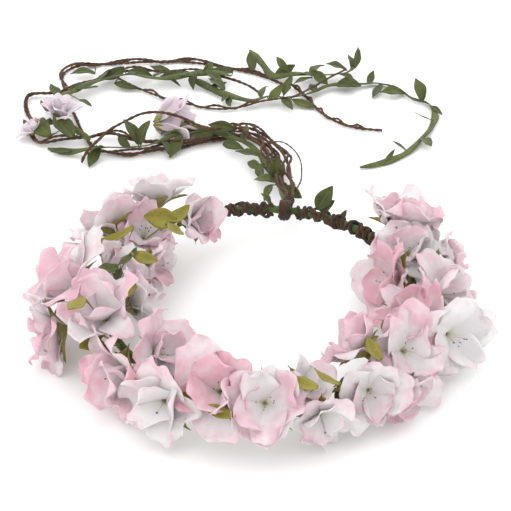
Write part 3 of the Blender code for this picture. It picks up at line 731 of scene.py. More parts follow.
def make_piece(name, points, faces, material, uv=None, values=None):
    """Mesh object at the origin, shaded smooth, with a UV for each point and named values for each point."""
    mesh = bpy.data.meshes.new(name)
    mesh.from_pydata([tuple(point) for point in points], [], [tuple(face) for face in faces])
    if uv is not None:
        layer = mesh.uv_layers.new(name="UVMap")
        corners = np.empty(len(mesh.loops), np.int32)
        mesh.loops.foreach_get("vertex_index", corners)
        layer.data.foreach_set("uv", np.asarray(uv, np.float32)[corners].ravel())
    for label, numbers in (values or {}).items():
        store = mesh.attributes.new(label, "FLOAT", "POINT")
        store.data.foreach_set("value", np.asarray(numbers, np.float32))
    mesh.shade_smooth()
    mesh.materials.append(finish(material))
    obj = bpy.data.objects.new(name, mesh)
    bpy.context.scene.collection.objects.link(obj)
    return obj


def grid_faces(rows, columns, first=0):
    """Faces of a grid of points numbered row by row."""
    faces = []
    for row in range(rows - 1):
        for column in range(columns - 1):
            corner = first + row * columns + column
            faces.append((corner, corner + 1, corner + columns + 1, corner + columns))
    return faces


def wall(obj, thickness):
    """Thickens a sheet evenly to both sides."""
    solid = obj.modifiers.new("wall", "SOLIDIFY")
    solid.thickness = thickness
    solid.offset = 0.0
    return obj


def recalculated(obj):
    """Turns all faces of a closed mesh outwards."""
    work = bmesh.new()
    work.from_mesh(obj.data)
    bmesh.ops.recalc_face_normals(work, faces=work.faces)
    work.to_mesh(obj.data)
    work.free()
    return obj


def lift_clear(obj):
    """Keeps a thin piece above the plane that the crown lies on, pressing what is lower up against it."""
    for vert in obj.data.vertices:
        if vert.co.z < FLOOR_CLEAR:
            vert.co.z = FLOOR_CLEAR + (FLOOR_CLEAR - vert.co.z) * DIP_LEFT
    return obj


def runs_along(points):
    """Distance along a path at each of its points."""
    runs = [0.0]
    for first, second in zip(points, points[1:]):
        runs.append(runs[-1] + (second - first).length)
    return runs


def length_of(points):
    """Length along a path."""
    return runs_along(points)[-1]


def smooth_route(points, step):
    """Evenly spaced points on a smooth curve through a route's own points."""
    ends = [points[0] * 2 - points[1]] + points + [points[-1] * 2 - points[-2]]
    fine = []
    for before, start, stop, after in zip(ends, ends[1:], ends[2:], ends[3:]):
        for part in range(ROUTE_PARTS):
            t = part / ROUTE_PARTS
            fine.append(0.5 * (2 * start + (stop - before) * t
                               + (2 * before - 5 * start + 4 * stop - after) * t ** 2
                               + (3 * start - before - 3 * stop + after) * t ** 3))
    fine.append(points[-1])
    runs = runs_along(fine)
    count = max(2, round(runs[-1] / step))
    result = []
    part = 0
    for index in range(count + 1):
        target = runs[-1] * index / count
        while part < len(fine) - 2 and runs[part + 1] < target:
            part += 1
        share = (target - runs[part]) / (runs[part + 1] - runs[part])
        result.append(fine[part].lerp(fine[part + 1], min(1.0, share)))
    return result


def behind_hoop(spot):
    """Point of the tail, from its millimetres sideways, behind the hoop's centreline and up."""
    return Vector(spot) / 1000 + Vector((0.0, HOOP_RADIUS, 0.0))


def carried_frames(points):
    """Tangent and two directions across a path at each of its points, carried along without turning."""
    result = []
    across = None
    for index in range(len(points)):
        before = points[max(0, index - 1)]
        after = points[min(len(points) - 1, index + 1)]
        tangent = (after - before).normalized()
        if across is None:
            across = tangent.orthogonal()
        across = (across - tangent * across.dot(tangent)).normalized()
        result.append((tangent, across, tangent.cross(across)))
    return result


def loft(name, rings, along, material):
    """Closed tube through rings of equal count, with capped ends, and along and around values."""
    count = len(rings[0])
    points = [spot for ring in rings for spot in ring]
    faces = []
    for row in range(len(rings) - 1):
        for index in range(count):
            after = (index + 1) % count
            low = row * count
            faces.append((low + index, low + after, low + count + after, low + count + index))
    faces.append(tuple(range(count))[::-1])
    faces.append(tuple(range(len(points) - count, len(points))))
    values = {
        "along": np.repeat(along, count),
        "around": np.tile(np.arange(count) / count, len(rings)),
        "flush": np.zeros(len(points)),
    }
    uv = np.stack([np.tile(np.arange(count) / count, len(rings)), np.repeat(along, count) * 50.0], 1)
    return make_piece(name, points, faces, material, uv, values)


def twisted_vine(name, path, radius, pitch, seed):
    """Two-ply strand: a waisted section that turns as it runs, swelling and thinning a little."""
    dice = random.Random(seed)
    phases = [dice.uniform(0, math.tau) for _ in range(2)]
    rings = []
    runs = runs_along(path)
    for run, spot, (_, across, other) in zip(runs, path, carried_frames(path)):
        # the paper swells and thins a little along its run
        swell = 0.93 + 0.08 * math.sin(run * 420 + phases[0]) + 0.07 * math.sin(run * 1130 + phases[1])
        turn = math.tau * run / pitch
        ring = []
        for side in range(VINE_SIDES):
            around = math.tau * side / VINE_SIDES
            waist = 0.68 + 0.36 * abs(math.cos(around))
            reach = radius * swell * waist
            ring.append(spot + across * reach * math.cos(around + turn)
                        + other * reach * math.sin(around + turn))
        rings.append(ring)
    return loft(name, rings, runs, "paper_vine")


def flat_ribbon(name, path, width, seed):
    """Flat leaf ribbon, arched across, that leans and turns over as it runs."""
    dice = random.Random(seed)
    phases = [dice.uniform(0, math.tau) for _ in range(3)]
    rings = []
    runs = runs_along(path)
    for run, spot, (tangent, _, _) in zip(runs, path, carried_frames(path)):
        level = tangent.cross(UP).normalized()
        lean = 0.55 * math.sin(run * 55 + phases[0]) + 0.45 * math.sin(run * 23 + phases[1]) + 0.25
        side = level * math.cos(lean) + level.cross(tangent) * math.sin(lean)
        crown = tangent.cross(side)
        if crown.z < 0:
            crown = -crown
        taper = min(1.0, 0.45 + run / 0.012, 0.35 + (runs[-1] - run) / 0.014)
        half = width / 2 * taper * (0.90 + 0.10 * math.sin(run * 260 + phases[2]))
        # the outline's high points are arched with the width, and the others go by the ribbon's thickness
        rings.append([
            spot + side * half * a + crown * (half * RIBBON_ARCH * b if abs(b) > 0.3 else RIBBON_WALL * b)
            for a, b in RIBBON_OUTLINE])
    return loft(name, rings, runs, "leaf_green")


# ---------------------------------------------------------------- geometry nodes

def node_tree(name, inputs):
    """Geometry node tree with named inputs, and its input and output nodes."""
    tree = bpy.data.node_groups.new(name, "GeometryNodeTree")
    tree.interface.new_socket("Geometry", in_out="INPUT", socket_type="NodeSocketGeometry")
    tree.interface.new_socket("Geometry", in_out="OUTPUT", socket_type="NodeSocketGeometry")
    for label, kind in inputs:
        tree.interface.new_socket(label, in_out="INPUT", socket_type=kind)
    return tree, tree.nodes.new("NodeGroupInput"), tree.nodes.new("NodeGroupOutput")


def add(tree, kind, links=None, **settings):
    """Node with its settings, and its inputs by name or number as sockets or values."""
    node = tree.nodes.new(kind)
    for label, value in settings.items():
        setattr(node, label, value)
    for key, value in (links or {}).items():
        if isinstance(value, bpy.types.NodeSocket):
            tree.links.new(value, node.inputs[key])
        else:
            node.inputs[key].default_value = value
    return node


def winding_tree():
    """Strand that winds a given number of turns round a path; its reach and thickness vary by a seeded noise.
    """
    tree, entry, leave = node_tree("Strand Winding", [
        ("Turns", "NodeSocketFloat"), ("Start", "NodeSocketFloat"), ("Reach", "NodeSocketFloat"),
        ("Strand Radius", "NodeSocketFloat"), ("Unevenness", "NodeSocketFloat"), ("Points", "NodeSocketInt"),
        ("Seed", "NodeSocketFloat"), ("Material", "NodeSocketMaterial")])
    given = entry.outputs
    curve = add(tree, "GeometryNodeMeshToCurve", {"Mesh": given["Geometry"]})
    dense = add(tree, "GeometryNodeResampleCurve", {"Curve": curve.outputs[0], "Count": given["Points"]})
    place = add(tree, "GeometryNodeSplineParameter")
    along = math_node(tree, "MULTIPLY_ADD", place.outputs["Length"], 160.0, given["Seed"])
    noise = add(tree, "ShaderNodeTexNoise", {"W": along, "Scale": 1.0, "Detail": 2.0}, noise_dimensions="1D")
    uneven = math_node(tree, "MULTIPLY", math_node(tree, "SUBTRACT", noise.outputs["Fac"], 0.5),
                       given["Unevenness"])
    reach = math_node(tree, "MULTIPLY", given["Reach"], math_node(tree, "MULTIPLY_ADD", uneven, 0.5, 1.0))
    turn = math_node(tree, "MULTIPLY", math_node(tree, "ADD", math_node(
        tree, "MULTIPLY", place.outputs["Factor"], given["Turns"]), given["Start"]), math.tau)
    normal = add(tree, "GeometryNodeInputNormal")
    tangent = add(tree, "GeometryNodeInputTangent")
    cross = add(tree, "ShaderNodeVectorMath", {0: tangent.outputs[0], 1: normal.outputs["Normal"]},
                operation="CROSS_PRODUCT")
    first = add(tree, "ShaderNodeVectorMath", {
        0: normal.outputs["Normal"],
        "Scale": math_node(tree, "MULTIPLY", reach, math_node(tree, "COSINE", turn))}, operation="SCALE")
    second = add(tree, "ShaderNodeVectorMath", {
        0: cross.outputs[0],
        "Scale": math_node(tree, "MULTIPLY", reach, math_node(tree, "SINE", turn))}, operation="SCALE")
    offset = add(tree, "ShaderNodeVectorMath", {0: first.outputs[0], 1: second.outputs[0]}, operation="ADD")
    wound = add(tree, "GeometryNodeSetPosition", {"Geometry": dense.outputs[0], "Offset": offset.outputs[0]})
    marked = add(tree, "GeometryNodeStoreNamedAttribute", {
        "Geometry": wound.outputs[0], "Name": "along",
        "Value": add(tree, "GeometryNodeSplineParameter").outputs["Length"]},
        data_type="FLOAT", domain="POINT")
    circle = add(tree, "GeometryNodeCurvePrimitiveCircle", {
        "Resolution": 8, "Radius": given["Strand Radius"]})
    rim = add(tree, "GeometryNodeStoreNamedAttribute", {
        "Geometry": circle.outputs[0], "Name": "around",
        "Value": add(tree, "GeometryNodeSplineParameter").outputs["Factor"]},
        data_type="FLOAT", domain="POINT")
    tube = add(tree, "GeometryNodeCurveToMesh", {
        "Curve": marked.outputs[0], "Profile Curve": rim.outputs[0], "Fill Caps": True,
        "Scale": math_node(tree, "ADD", uneven, 1.0)})
    smooth = add(tree, "GeometryNodeSetShadeSmooth", {"Geometry": tube.outputs[0]})
    real = add(tree, "GeometryNodeRealizeInstances", {"Geometry": smooth.outputs[0]})
    painted = add(tree, "GeometryNodeSetMaterial", {
        "Geometry": real.outputs[0], "Material": given["Material"]})
    tree.links.new(painted.outputs[0], leave.inputs["Geometry"])
    return tree


def stamen_tree():
    """Thin filaments along loose edges, each with an anther at its far end."""
    tree, entry, leave = node_tree("Stamens", [
        ("Filament Radius", "NodeSocketFloat"), ("Anther Radius", "NodeSocketFloat"),
        ("Filament Material", "NodeSocketMaterial"), ("Anther Material", "NodeSocketMaterial")])
    given = entry.outputs
    curve = add(tree, "GeometryNodeMeshToCurve", {"Mesh": given["Geometry"]})
    circle = add(tree, "GeometryNodeCurvePrimitiveCircle", {
        "Resolution": 4, "Radius": given["Filament Radius"]})
    stalk = add(tree, "GeometryNodeCurveToMesh", {
        "Curve": curve.outputs[0], "Profile Curve": circle.outputs[0], "Fill Caps": True})
    pale = add(tree, "GeometryNodeSetMaterial", {
        "Geometry": stalk.outputs[0], "Material": given["Filament Material"]})
    far = add(tree, "GeometryNodeCurveEndpointSelection", {"Start Size": 0, "End Size": 1})
    grain = add(tree, "GeometryNodeMeshUVSphere", {
        "Segments": 6, "Rings": 5, "Radius": given["Anther Radius"]})
    tangent = add(tree, "GeometryNodeInputTangent")
    aim = add(tree, "FunctionNodeAlignRotationToVector", {"Vector": tangent.outputs[0]}, axis="Z")
    copies = add(tree, "GeometryNodeInstanceOnPoints", {
        "Points": curve.outputs[0], "Selection": far.outputs[0], "Instance": grain.outputs["Mesh"],
        "Rotation": aim.outputs[0], "Scale": (0.75, 0.75, 1.5)})
    real = add(tree, "GeometryNodeRealizeInstances", {"Geometry": copies.outputs[0]})
    dark = add(tree, "GeometryNodeSetMaterial", {
        "Geometry": real.outputs[0], "Material": given["Anther Material"]})
    both = add(tree, "GeometryNodeJoinGeometry")
    tree.links.new(dark.outputs[0], both.inputs[0])
    tree.links.new(pale.outputs[0], both.inputs[0])
    smooth = add(tree, "GeometryNodeSetShadeSmooth", {"Geometry": both.outputs[0]})
    tree.links.new(smooth.outputs[0], leave.inputs["Geometry"])
    return tree


# Geometry node trees made so far, by name
TREES = {}


def grow(name, points, edges, tree_name, inputs):
    """Runs a geometry node tree on loose edges and gives the plain mesh object that it makes."""
    makers = {"Strand Winding": winding_tree, "Stamens": stamen_tree}
    if tree_name not in TREES:
        TREES[tree_name] = makers[tree_name]()
    tree = TREES[tree_name]
    guide_mesh = bpy.data.meshes.new(name + "_guide")
    guide_mesh.from_pydata([tuple(point) for point in points], edges, [])
    guide = bpy.data.objects.new(name + "_guide", guide_mesh)
    bpy.context.scene.collection.objects.link(guide)
    modifier = guide.modifiers.new("grow", "NODES")
    modifier.node_group = tree
    for item in tree.interface.items_tree:
        if item.in_out == "INPUT" and item.name in inputs:
            modifier[item.identifier] = inputs[item.name]
    bpy.context.view_layer.update()
    graph = bpy.context.evaluated_depsgraph_get()
    result = bpy.data.meshes.new_from_object(
        guide.evaluated_get(graph), preserve_all_data_layers=True, depsgraph=graph)
    bpy.data.objects.remove(guide, do_unlink=True)
    result.name = name
    obj = bpy.data.objects.new(name, result)
    bpy.context.scene.collection.objects.link(obj)
    return obj


def strand(path, turns, start, reach, radius, material, uneven, seed=0.0):
    """One strand wound round a path."""
    distance = length_of(path) + abs(turns) * math.tau * reach
    edges = [(index, index + 1) for index in range(len(path) - 1)]
    return grow("ply", path, edges, "Strand Winding", {
        "Turns": turns, "Start": start, "Reach": reach, "Strand Radius": radius, "Unevenness": uneven,
        "Points": int(max(8, distance * 1000 * STRAND_POINTS)), "Seed": seed, "Material": finish(material)})


def join(name, pieces):
    """Several mesh objects made one."""
    merged = bmesh.new()
    for piece in pieces:
        merged.from_mesh(piece.data)
    result = pieces[0]
    merged.to_mesh(result.data)
    merged.free()
    for piece in pieces[1:]:
        bpy.data.objects.remove(piece, do_unlink=True)
    result.name = name
    return result


# ---------------------------------------------------------------- hoop

def hoop_direction(angle, roll):
    """Unit vector across the hoop at an angle along it, rolled from outwards towards up."""
    along = math.radians(angle)
    around = math.radians(roll)
    outward = Vector((math.cos(along), math.sin(along), 0.0))
    return outward * math.cos(around) + Vector((0.0, 0.0, math.sin(around)))


def hoop_point(angle, roll=0.0, reach=0.0):
    """Point at a reach from the hoop's centreline."""
    along = math.radians(angle)
    centre = Vector((math.cos(along), math.sin(along), 0.0)) * HOOP_RADIUS
    return centre + Vector((0.0, 0.0, HOOP_HEIGHT)) + hoop_direction(angle, roll) * reach


def hoop_tangent(angle):
    """Unit vector along the hoop, towards growing angles."""
    along = math.radians(angle)
    return Vector((-math.sin(along), math.cos(along), 0.0))


def hoop_arc(start, stop):
    """Points on the hoop's centreline between two angles."""
    count = max(2, round(abs(stop - start) / ARC_STEP))
    return [hoop_point(start + (stop - start) * index / count) for index in range(count + 1)]


def taped_hoop(settings):
    """Ring of floral tape wound in overlapping turns, with a step where each turn laps the last."""
    turns = round(math.tau * HOOP_RADIUS / settings.tape_pitch)
    dice = random.Random(5)
    phases = [dice.uniform(0, math.tau) for _ in range(2)]
    points = []
    along = []
    around = []
    for major in range(TAPE_POINTS):
        share = major / TAPE_POINTS
        for minor in range(TAPE_SIDES):
            roll = minor / TAPE_SIDES
            lap = (share * turns + roll) % 1.0
            # small waves stand for crumpled tape
            crumple = 0.05 * math.sin(share * 780 + roll * 9 + phases[0])
            crumple += 0.04 * math.sin(share * 1620 + phases[1])
            reach = TAPE_RADIUS * (1.0 + 0.16 * (1.0 - lap) ** 2 + crumple)
            points.append(hoop_point(360.0 * share, -360.0 * roll, reach))
            along.append(share * math.tau * HOOP_RADIUS)
            around.append(roll)
    faces = []
    for major in range(TAPE_POINTS):
        this_ring = major * TAPE_SIDES
        next_ring = (major + 1) % TAPE_POINTS * TAPE_SIDES
        for minor in range(TAPE_SIDES):
            beside = (minor + 1) % TAPE_SIDES
            faces.append((this_ring + minor, next_ring + minor, next_ring + beside, this_ring + beside))
    obj = make_piece("hoop_tape_wound", points, faces, "floral_tape", None,
                     {"along": along, "around": around})
    return recalculated(obj)


# ---------------------------------------------------------------- petals and leaves

def unique_spots(node):
    """Distinct points of a node of the frame."""
    spots = np.array([vert.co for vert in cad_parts[node].data.vertices], float)
    return np.unique(np.round(spots, 6), axis=0)


def cup_of(node):
    """Base, facing, first petal's direction, width and depth of a corolla of the frame."""
    spots = unique_spots(node)
    middle = spots.mean(0)
    values, axes = np.linalg.eigh(np.cov((spots - middle).T))
    odd_one = 2 if values[1] - values[0] < values[2] - values[1] else 0
    axis = axes[:, odd_one]
    heights = (spots - middle) @ axis
    radial = spots - middle - np.outer(heights, axis)
    spread = np.linalg.norm(radial, axis=1)
    low_end = heights < heights.min() + (heights.max() - heights.min()) * 0.2
    high_end = heights > heights.max() - (heights.max() - heights.min()) * 0.2
    if spread[low_end].mean() > spread[high_end].mean():
        axis = -axis
        heights = -heights
    tip = radial[np.argmax(spread + radial[:, 2] * 0.01)]
    base = middle + axis * heights.min()
    return (Vector(base), Vector(axis), Vector(tip / np.linalg.norm(tip)),
            float(spread.max() * 2), float(heights.max() - heights.min()))


def petal_grid(rng, length, width, start, angles, cup, ruffle, fold, notch, sway, twist, pointed=0.0,
               grid=PETAL_GRID):
    """Points of one petal: x across it, y outwards from the blossom's axis, z along the axis.

    Angles are the petal's lean from the axis at its root, middle and rim. A positive cup curls the sides
    towards the axis. In the sums, s runs from root to rim and t from side to side. Also gives the UV of
    each point.
    """
    rows, columns = grid
    s = np.repeat(np.linspace(0.0, 1.0, rows), columns)
    t = np.tile(np.linspace(-1.0, 1.0, columns), rows)
    phase = rng.uniform(0, math.tau, 4)
    # half the width: it swells from the root to the widest place, and narrows to the rim
    widest = 0.60 if pointed else ROUND_FROM
    swelling = 0.24 + 0.76 * np.sin(math.pi / 2 * np.minimum(1.0, s / widest)) ** 1.15
    narrowing = 1.0 - (0.26 + 0.70 * pointed) * np.maximum(0.0, (s - widest) / (1 - widest)) ** 2
    half = np.where(s < widest, swelling, narrowing) * width / 2
    # how far along the petal each point lies, with a round, notched and wavy rim
    reach = s * (1.0 - 0.50 * s * t ** 2)
    if not pointed:
        # the outer part is the half of a rounded square pulled out to a circle
        outer = np.maximum(0.0, (s - ROUND_FROM) / (1.0 - ROUND_FROM))
        half = np.where(s < widest, half, width / 2) * np.sqrt(1.0 - outer ** 2 / 2)
        reach = np.minimum(s, ROUND_FROM) + (1.0 - ROUND_FROM) * outer * np.sqrt(1.0 - t ** 2 / 2)
    reach = reach - notch * np.exp(-(t / 0.22) ** 2) * s ** 8
    reach = reach + 0.034 * np.sin(4.6 * t + phase[0]) * s ** 4 + 0.008 * np.sin(11 * t + phase[1]) * s ** 7
    # the petal's own curve outwards and up, as tables to look each point up in
    table = np.linspace(0.0, 1.05, 60)
    lean = np.interp(table, (0.0, 0.5, 1.0), angles)
    step = table[1] * length
    out_table = start + np.concatenate([[0.0], np.cumsum(np.sin(lean[:-1]) * step)])
    rise_table = np.concatenate([[0.0], np.cumsum(np.cos(lean[:-1]) * step)])
    out = np.interp(reach, table, out_table)
    rise = np.interp(reach, table, rise_table)
    tilt = np.interp(reach, table, lean)
    # curled across, ruffled at the sides and the rim, and folded along the middle
    bend = cup * (0.35 + 0.65 * s)
    bend = np.where(np.abs(bend) < 1e-3, 1e-3, bend)
    across = half * np.sin(t * bend) / bend
    lift = half * (1.0 - np.cos(t * bend)) / bend
    side_wave = np.sin(s * 9.0 + phase[2] + np.where(t > 0, 1.9, 0.0))
    lift = lift + ruffle * width * 0.075 * s ** 2 * np.abs(t) ** 1.5 * side_wave
    lift = lift + ruffle * width * 0.050 * s ** 4 * np.sin(t * 4.2 + phase[3])
    lift = lift - fold * width * 0.10 * np.exp(-(t / 0.16) ** 2) * (0.25 + 0.75 * s)
    # twisted more towards the rim, and swayed to one side
    turn_cos, turn_sin = np.cos(twist * s), np.sin(twist * s)
    across, lift = across * turn_cos - lift * turn_sin, across * turn_sin + lift * turn_cos
    across = across + sway * length * s ** 2
    points = np.stack([across, out - np.cos(tilt) * lift, rise + np.sin(tilt) * lift], 1)
    return points, np.stack([(t + 1) / 2, s], 1)


def ring_of_petals(name, cup, material, rng, count, turn, petal, wall_thickness, flush):
    """Rosette of petals set round a blossom's axis; petal() throws petal_grid's values for the next one."""
    base, facing, first, _, _ = cup
    third = facing.cross(first)
    frame_matrix = np.array(Matrix((first, third, facing)).transposed())
    points = []
    uvs = []
    faces = []
    flushes = []
    for index in range(count):
        values = petal()
        grid, uv = petal_grid(rng, **values)
        around = turn + math.tau * index / count + rng.uniform(-0.10, 0.10)
        # the petal's outward direction at this angle, with across a quarter turn behind it
        out_x, out_y = math.cos(around), math.sin(around)
        local = np.stack([grid[:, 1] * out_x + grid[:, 0] * out_y,
                          grid[:, 1] * out_y - grid[:, 0] * out_x, grid[:, 2]], 1)
        faces += grid_faces(*values.get("grid", PETAL_GRID), sum(len(patch) for patch in points))
        points.append(local @ frame_matrix.T + np.array(base))
        uvs.append(uv)
        petal_flush = min(1.0, max(0.0, flush + rng.uniform(-0.45, 0.45)))
        flushes.append(np.full(len(grid), petal_flush))
    obj = make_piece(name, np.concatenate(points), faces, material, np.concatenate(uvs),
                     {"flush": np.concatenate(flushes)})
    return wall(obj, wall_thickness)


def dressed_blossom(node, body, wear, material, settings, seed):
    """Outer and inner rosette and sepals of one blossom."""
    openness, pinkness, ruffle, size, heart = wear
    cup = cup_of(node)
    _, _, _, width, depth = cup
    rng = np.random.default_rng(seed)
    # the wider it opens, the shorter the petals that fill its width
    reach_share = math.sin(math.radians(38 + 36 * openness))
    length = min(max(width * size / 2 / max(0.35, reach_share), depth * 1.1), LONGEST_PETAL)
    sepal_base = length * TAIL_SEPAL_SHARE if body == TAIL else length

    def outer():
        # a narrow petal is curled more than the others
        narrow = rng.uniform() < NARROW_SHARE
        lean = math.radians(22 + 26 * openness + rng.uniform(-8, 8))
        middle = math.radians(34 + 44 * openness + rng.uniform(-20, 16))
        rim = math.radians(38 + 56 * openness + rng.uniform(-42, 40))
        return {
            "length": length * rng.uniform(0.84, 1.14),
            "width": length * (rng.uniform(0.55, 0.72) if narrow else rng.uniform(0.92, 1.20)),
            "start": OUTER_START,
            "angles": (lean, middle, rim),
            "cup": rng.uniform(0.9, 1.3) if narrow else rng.uniform(-0.35, 0.75),
            "ruffle": ruffle * rng.uniform(0.8, 1.8),
            "fold": rng.uniform(0.0, 0.55),
            "notch": rng.uniform(0.0, 0.10),
            "sway": rng.uniform(-0.2, 0.2),
            "twist": rng.uniform(-0.15, 0.6)}

    def inner():
        lean = math.radians(14 + 22 * heart + rng.uniform(-4, 10))
        middle = math.radians(26 + 38 * heart + rng.uniform(-16, 16))
        rim = math.radians(38 + 40 * heart + rng.uniform(-70, 34))
        return {
            "length": length * rng.uniform(0.70, 0.98),
            "width": length * rng.uniform(0.76, 1.08),
            "start": INNER_START,
            "angles": (lean, middle, rim),
            "cup": rng.uniform(-0.2, 0.7),
            "ruffle": ruffle * rng.uniform(0.8, 2.0),
            "fold": rng.uniform(0.0, 0.55),
            "notch": rng.uniform(0.0, 0.12),
            "sway": rng.uniform(-0.2, 0.2),
            "twist": rng.uniform(-0.6, 0.6)}

    def sepal():
        degrees = (40 + 14 * openness, 48 + 40 * openness, 48 + 54 * openness)
        return {
            "length": sepal_base * rng.uniform(0.55, 0.78),
            "width": sepal_base * rng.uniform(0.40, 0.56),
            "start": SEPAL_START,
            "angles": tuple(math.radians(lean) for lean in degrees),
            "cup": 0.5,
            "ruffle": 0.5,
            "fold": 0.6,
            "notch": -0.12,
            "sway": rng.uniform(-0.1, 0.1),
            "twist": rng.uniform(-0.3, 0.3),
            "pointed": 1.0,
            "grid": SEPAL_GRID}

    outer_count = settings.petal_count - 1 if body == TAIL else settings.petal_count
    inner_count = 4 if heart > 0.6 else 3
    thickness = settings.petal_wall
    turn = rng.uniform(-0.3, 0.3)
    outside = ring_of_petals(
        node + "_outer", cup, material, rng, outer_count, turn, outer, thickness, pinkness)
    inside = ring_of_petals(
        node + "_inner", cup, material, rng, inner_count, turn + math.pi / 5, inner, thickness,
        min(1.0, pinkness + 0.22))
    below = (cup[0] - cup[1] * SEPAL_DROP, *cup[1:])
    sepals = ring_of_petals(
        node + "_sepals", below, "stem_lime", rng, SEPALS, turn + 0.35, sepal, SEPAL_WALL, 0.0)
    for piece in (outside, inside, sepals):
        lift_clear(piece)
        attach(piece, body)
    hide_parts(node)


def leaf_blade(name, base, tip, width, turn, curl, shade, material="leaf_green", root=None):
    """Pointed leaf from base to tip, folded along its midrib and curled, on a stalk if a root is given."""
    rows, columns = LEAF_GRID
    run = tip - base
    length = run.length
    along = run.normalized()
    up = Vector((0.0, -0.35, 1.0))
    if abs(along.dot(up.normalized())) > 0.9:
        up = Vector((0.0, -1.0, 0.2))
    across = along.cross(up).normalized()
    across = Matrix.Rotation(math.radians(turn), 3, along) @ across
    normal = across.cross(along)
    points = []
    uvs = []
    stalk_rows = 0
    if root is not None and (base - root).length > 2 * STALK_HALF:
        # the stalk is the same grid drawn out narrow, so that the leaf stays one sheet
        stalk_rows = STALK_ROWS
        beside = (base - root).cross(normal)
        beside = beside.normalized() if beside.length > 1e-6 else across
        if beside.dot(across) < 0:
            beside = -beside
        for row in range(stalk_rows):
            spot = root.lerp(base, row / stalk_rows)
            for column in range(columns):
                side = column / (columns - 1) * 2 - 1
                points.append(spot + beside * STALK_HALF * side + normal * abs(side) * STALK_HALF)
                uvs.append(((side + 1) / 2, 0.0))
    for row in range(rows):
        share = row / (rows - 1)
        half = width / 2 * math.sin(math.pi * min(0.985, 0.05 + share * 0.95) ** 0.92) ** 0.85
        bow = math.sin(math.pi * share) * length * 0.10 * curl
        for column in range(columns):
            side = column / (columns - 1) * 2 - 1
            ripple = 0.05 * width * math.sin(share * 11 + side * 2)
            points.append(base + along * length * share + across * half * side
                          + normal * (abs(side) * half * 0.38 + bow + ripple * abs(side)))
            uvs.append(((side + 1) / 2, share))
    obj = make_piece(name, points, grid_faces(stalk_rows + rows, columns), material, uvs,
                     {"flush": np.full(len(points), shade)})
    return wall(obj, LEAF_WALL)


def hoop_leaf(name, angle, roll, swing, length, width, turn):
    """Leaf tucked into the hoop, swung along it and turned about its own midrib."""
    swing = math.radians(swing)
    direction = hoop_direction(angle, roll) * math.cos(swing) + hoop_tangent(angle) * math.sin(swing)
    base = hoop_point(angle, roll, TAPE_RADIUS * 1.1)
    return leaf_blade(name, base, base + direction * length, width, turn, curl=1.2, shade=0.25)


# ---------------------------------------------------------------- operators

class CROWN_OT_stage(bpy.types.Operator):
    """Camera, floor and soft studio light"""
    bl_idname = "crown.stage"
    bl_label = "Stage"

    def execute(self, context):
        settings = context.scene.crown_stage
        back = Vector((math.sin(settings.azimuth) * math.cos(settings.elevation),
                       -math.cos(settings.azimuth) * math.cos(settings.elevation),
                       math.sin(settings.elevation)))
        data = bpy.data.cameras.new("camera")
        data.lens = settings.lens
        data.sensor_width = 36.0
        data.clip_start = 0.05
        camera = bpy.data.objects.new("camera", data)
        camera.location = Vector(LOOK_AT) + back * settings.distance
        camera.rotation_euler = (-back).to_track_quat("-Z", "Y").to_euler()
        context.scene.collection.objects.link(camera)
        context.scene.camera = camera

        bpy.ops.mesh.primitive_plane_add(size=FLOOR_SIDE)
        floor = context.active_object
        floor.name = "floor"
        floor.data.materials.append(finish("floor"))

        world = bpy.data.worlds.new("studio")
        world.use_nodes = True
        sky = world.node_tree.nodes["Background"]
        sky.inputs["Color"].default_value = (1.0, 1.0, 1.0, 1.0)
        sky.inputs["Strength"].default_value = SKY_STRENGTH
        context.scene.world = world
        context.scene.view_settings.view_transform = "Standard"
        for name, (spot, size, power) in LAMPS.items():
            light = bpy.data.lights.new(name, "AREA")
            light.size = size
            light.energy = power
            lamp = bpy.data.objects.new(name, light)
            lamp.location = spot
            lamp.rotation_euler = (-Vector(spot)).to_track_quat("-Z", "Y").to_euler()
            context.scene.collection.objects.link(lamp)
        return {"FINISHED"}


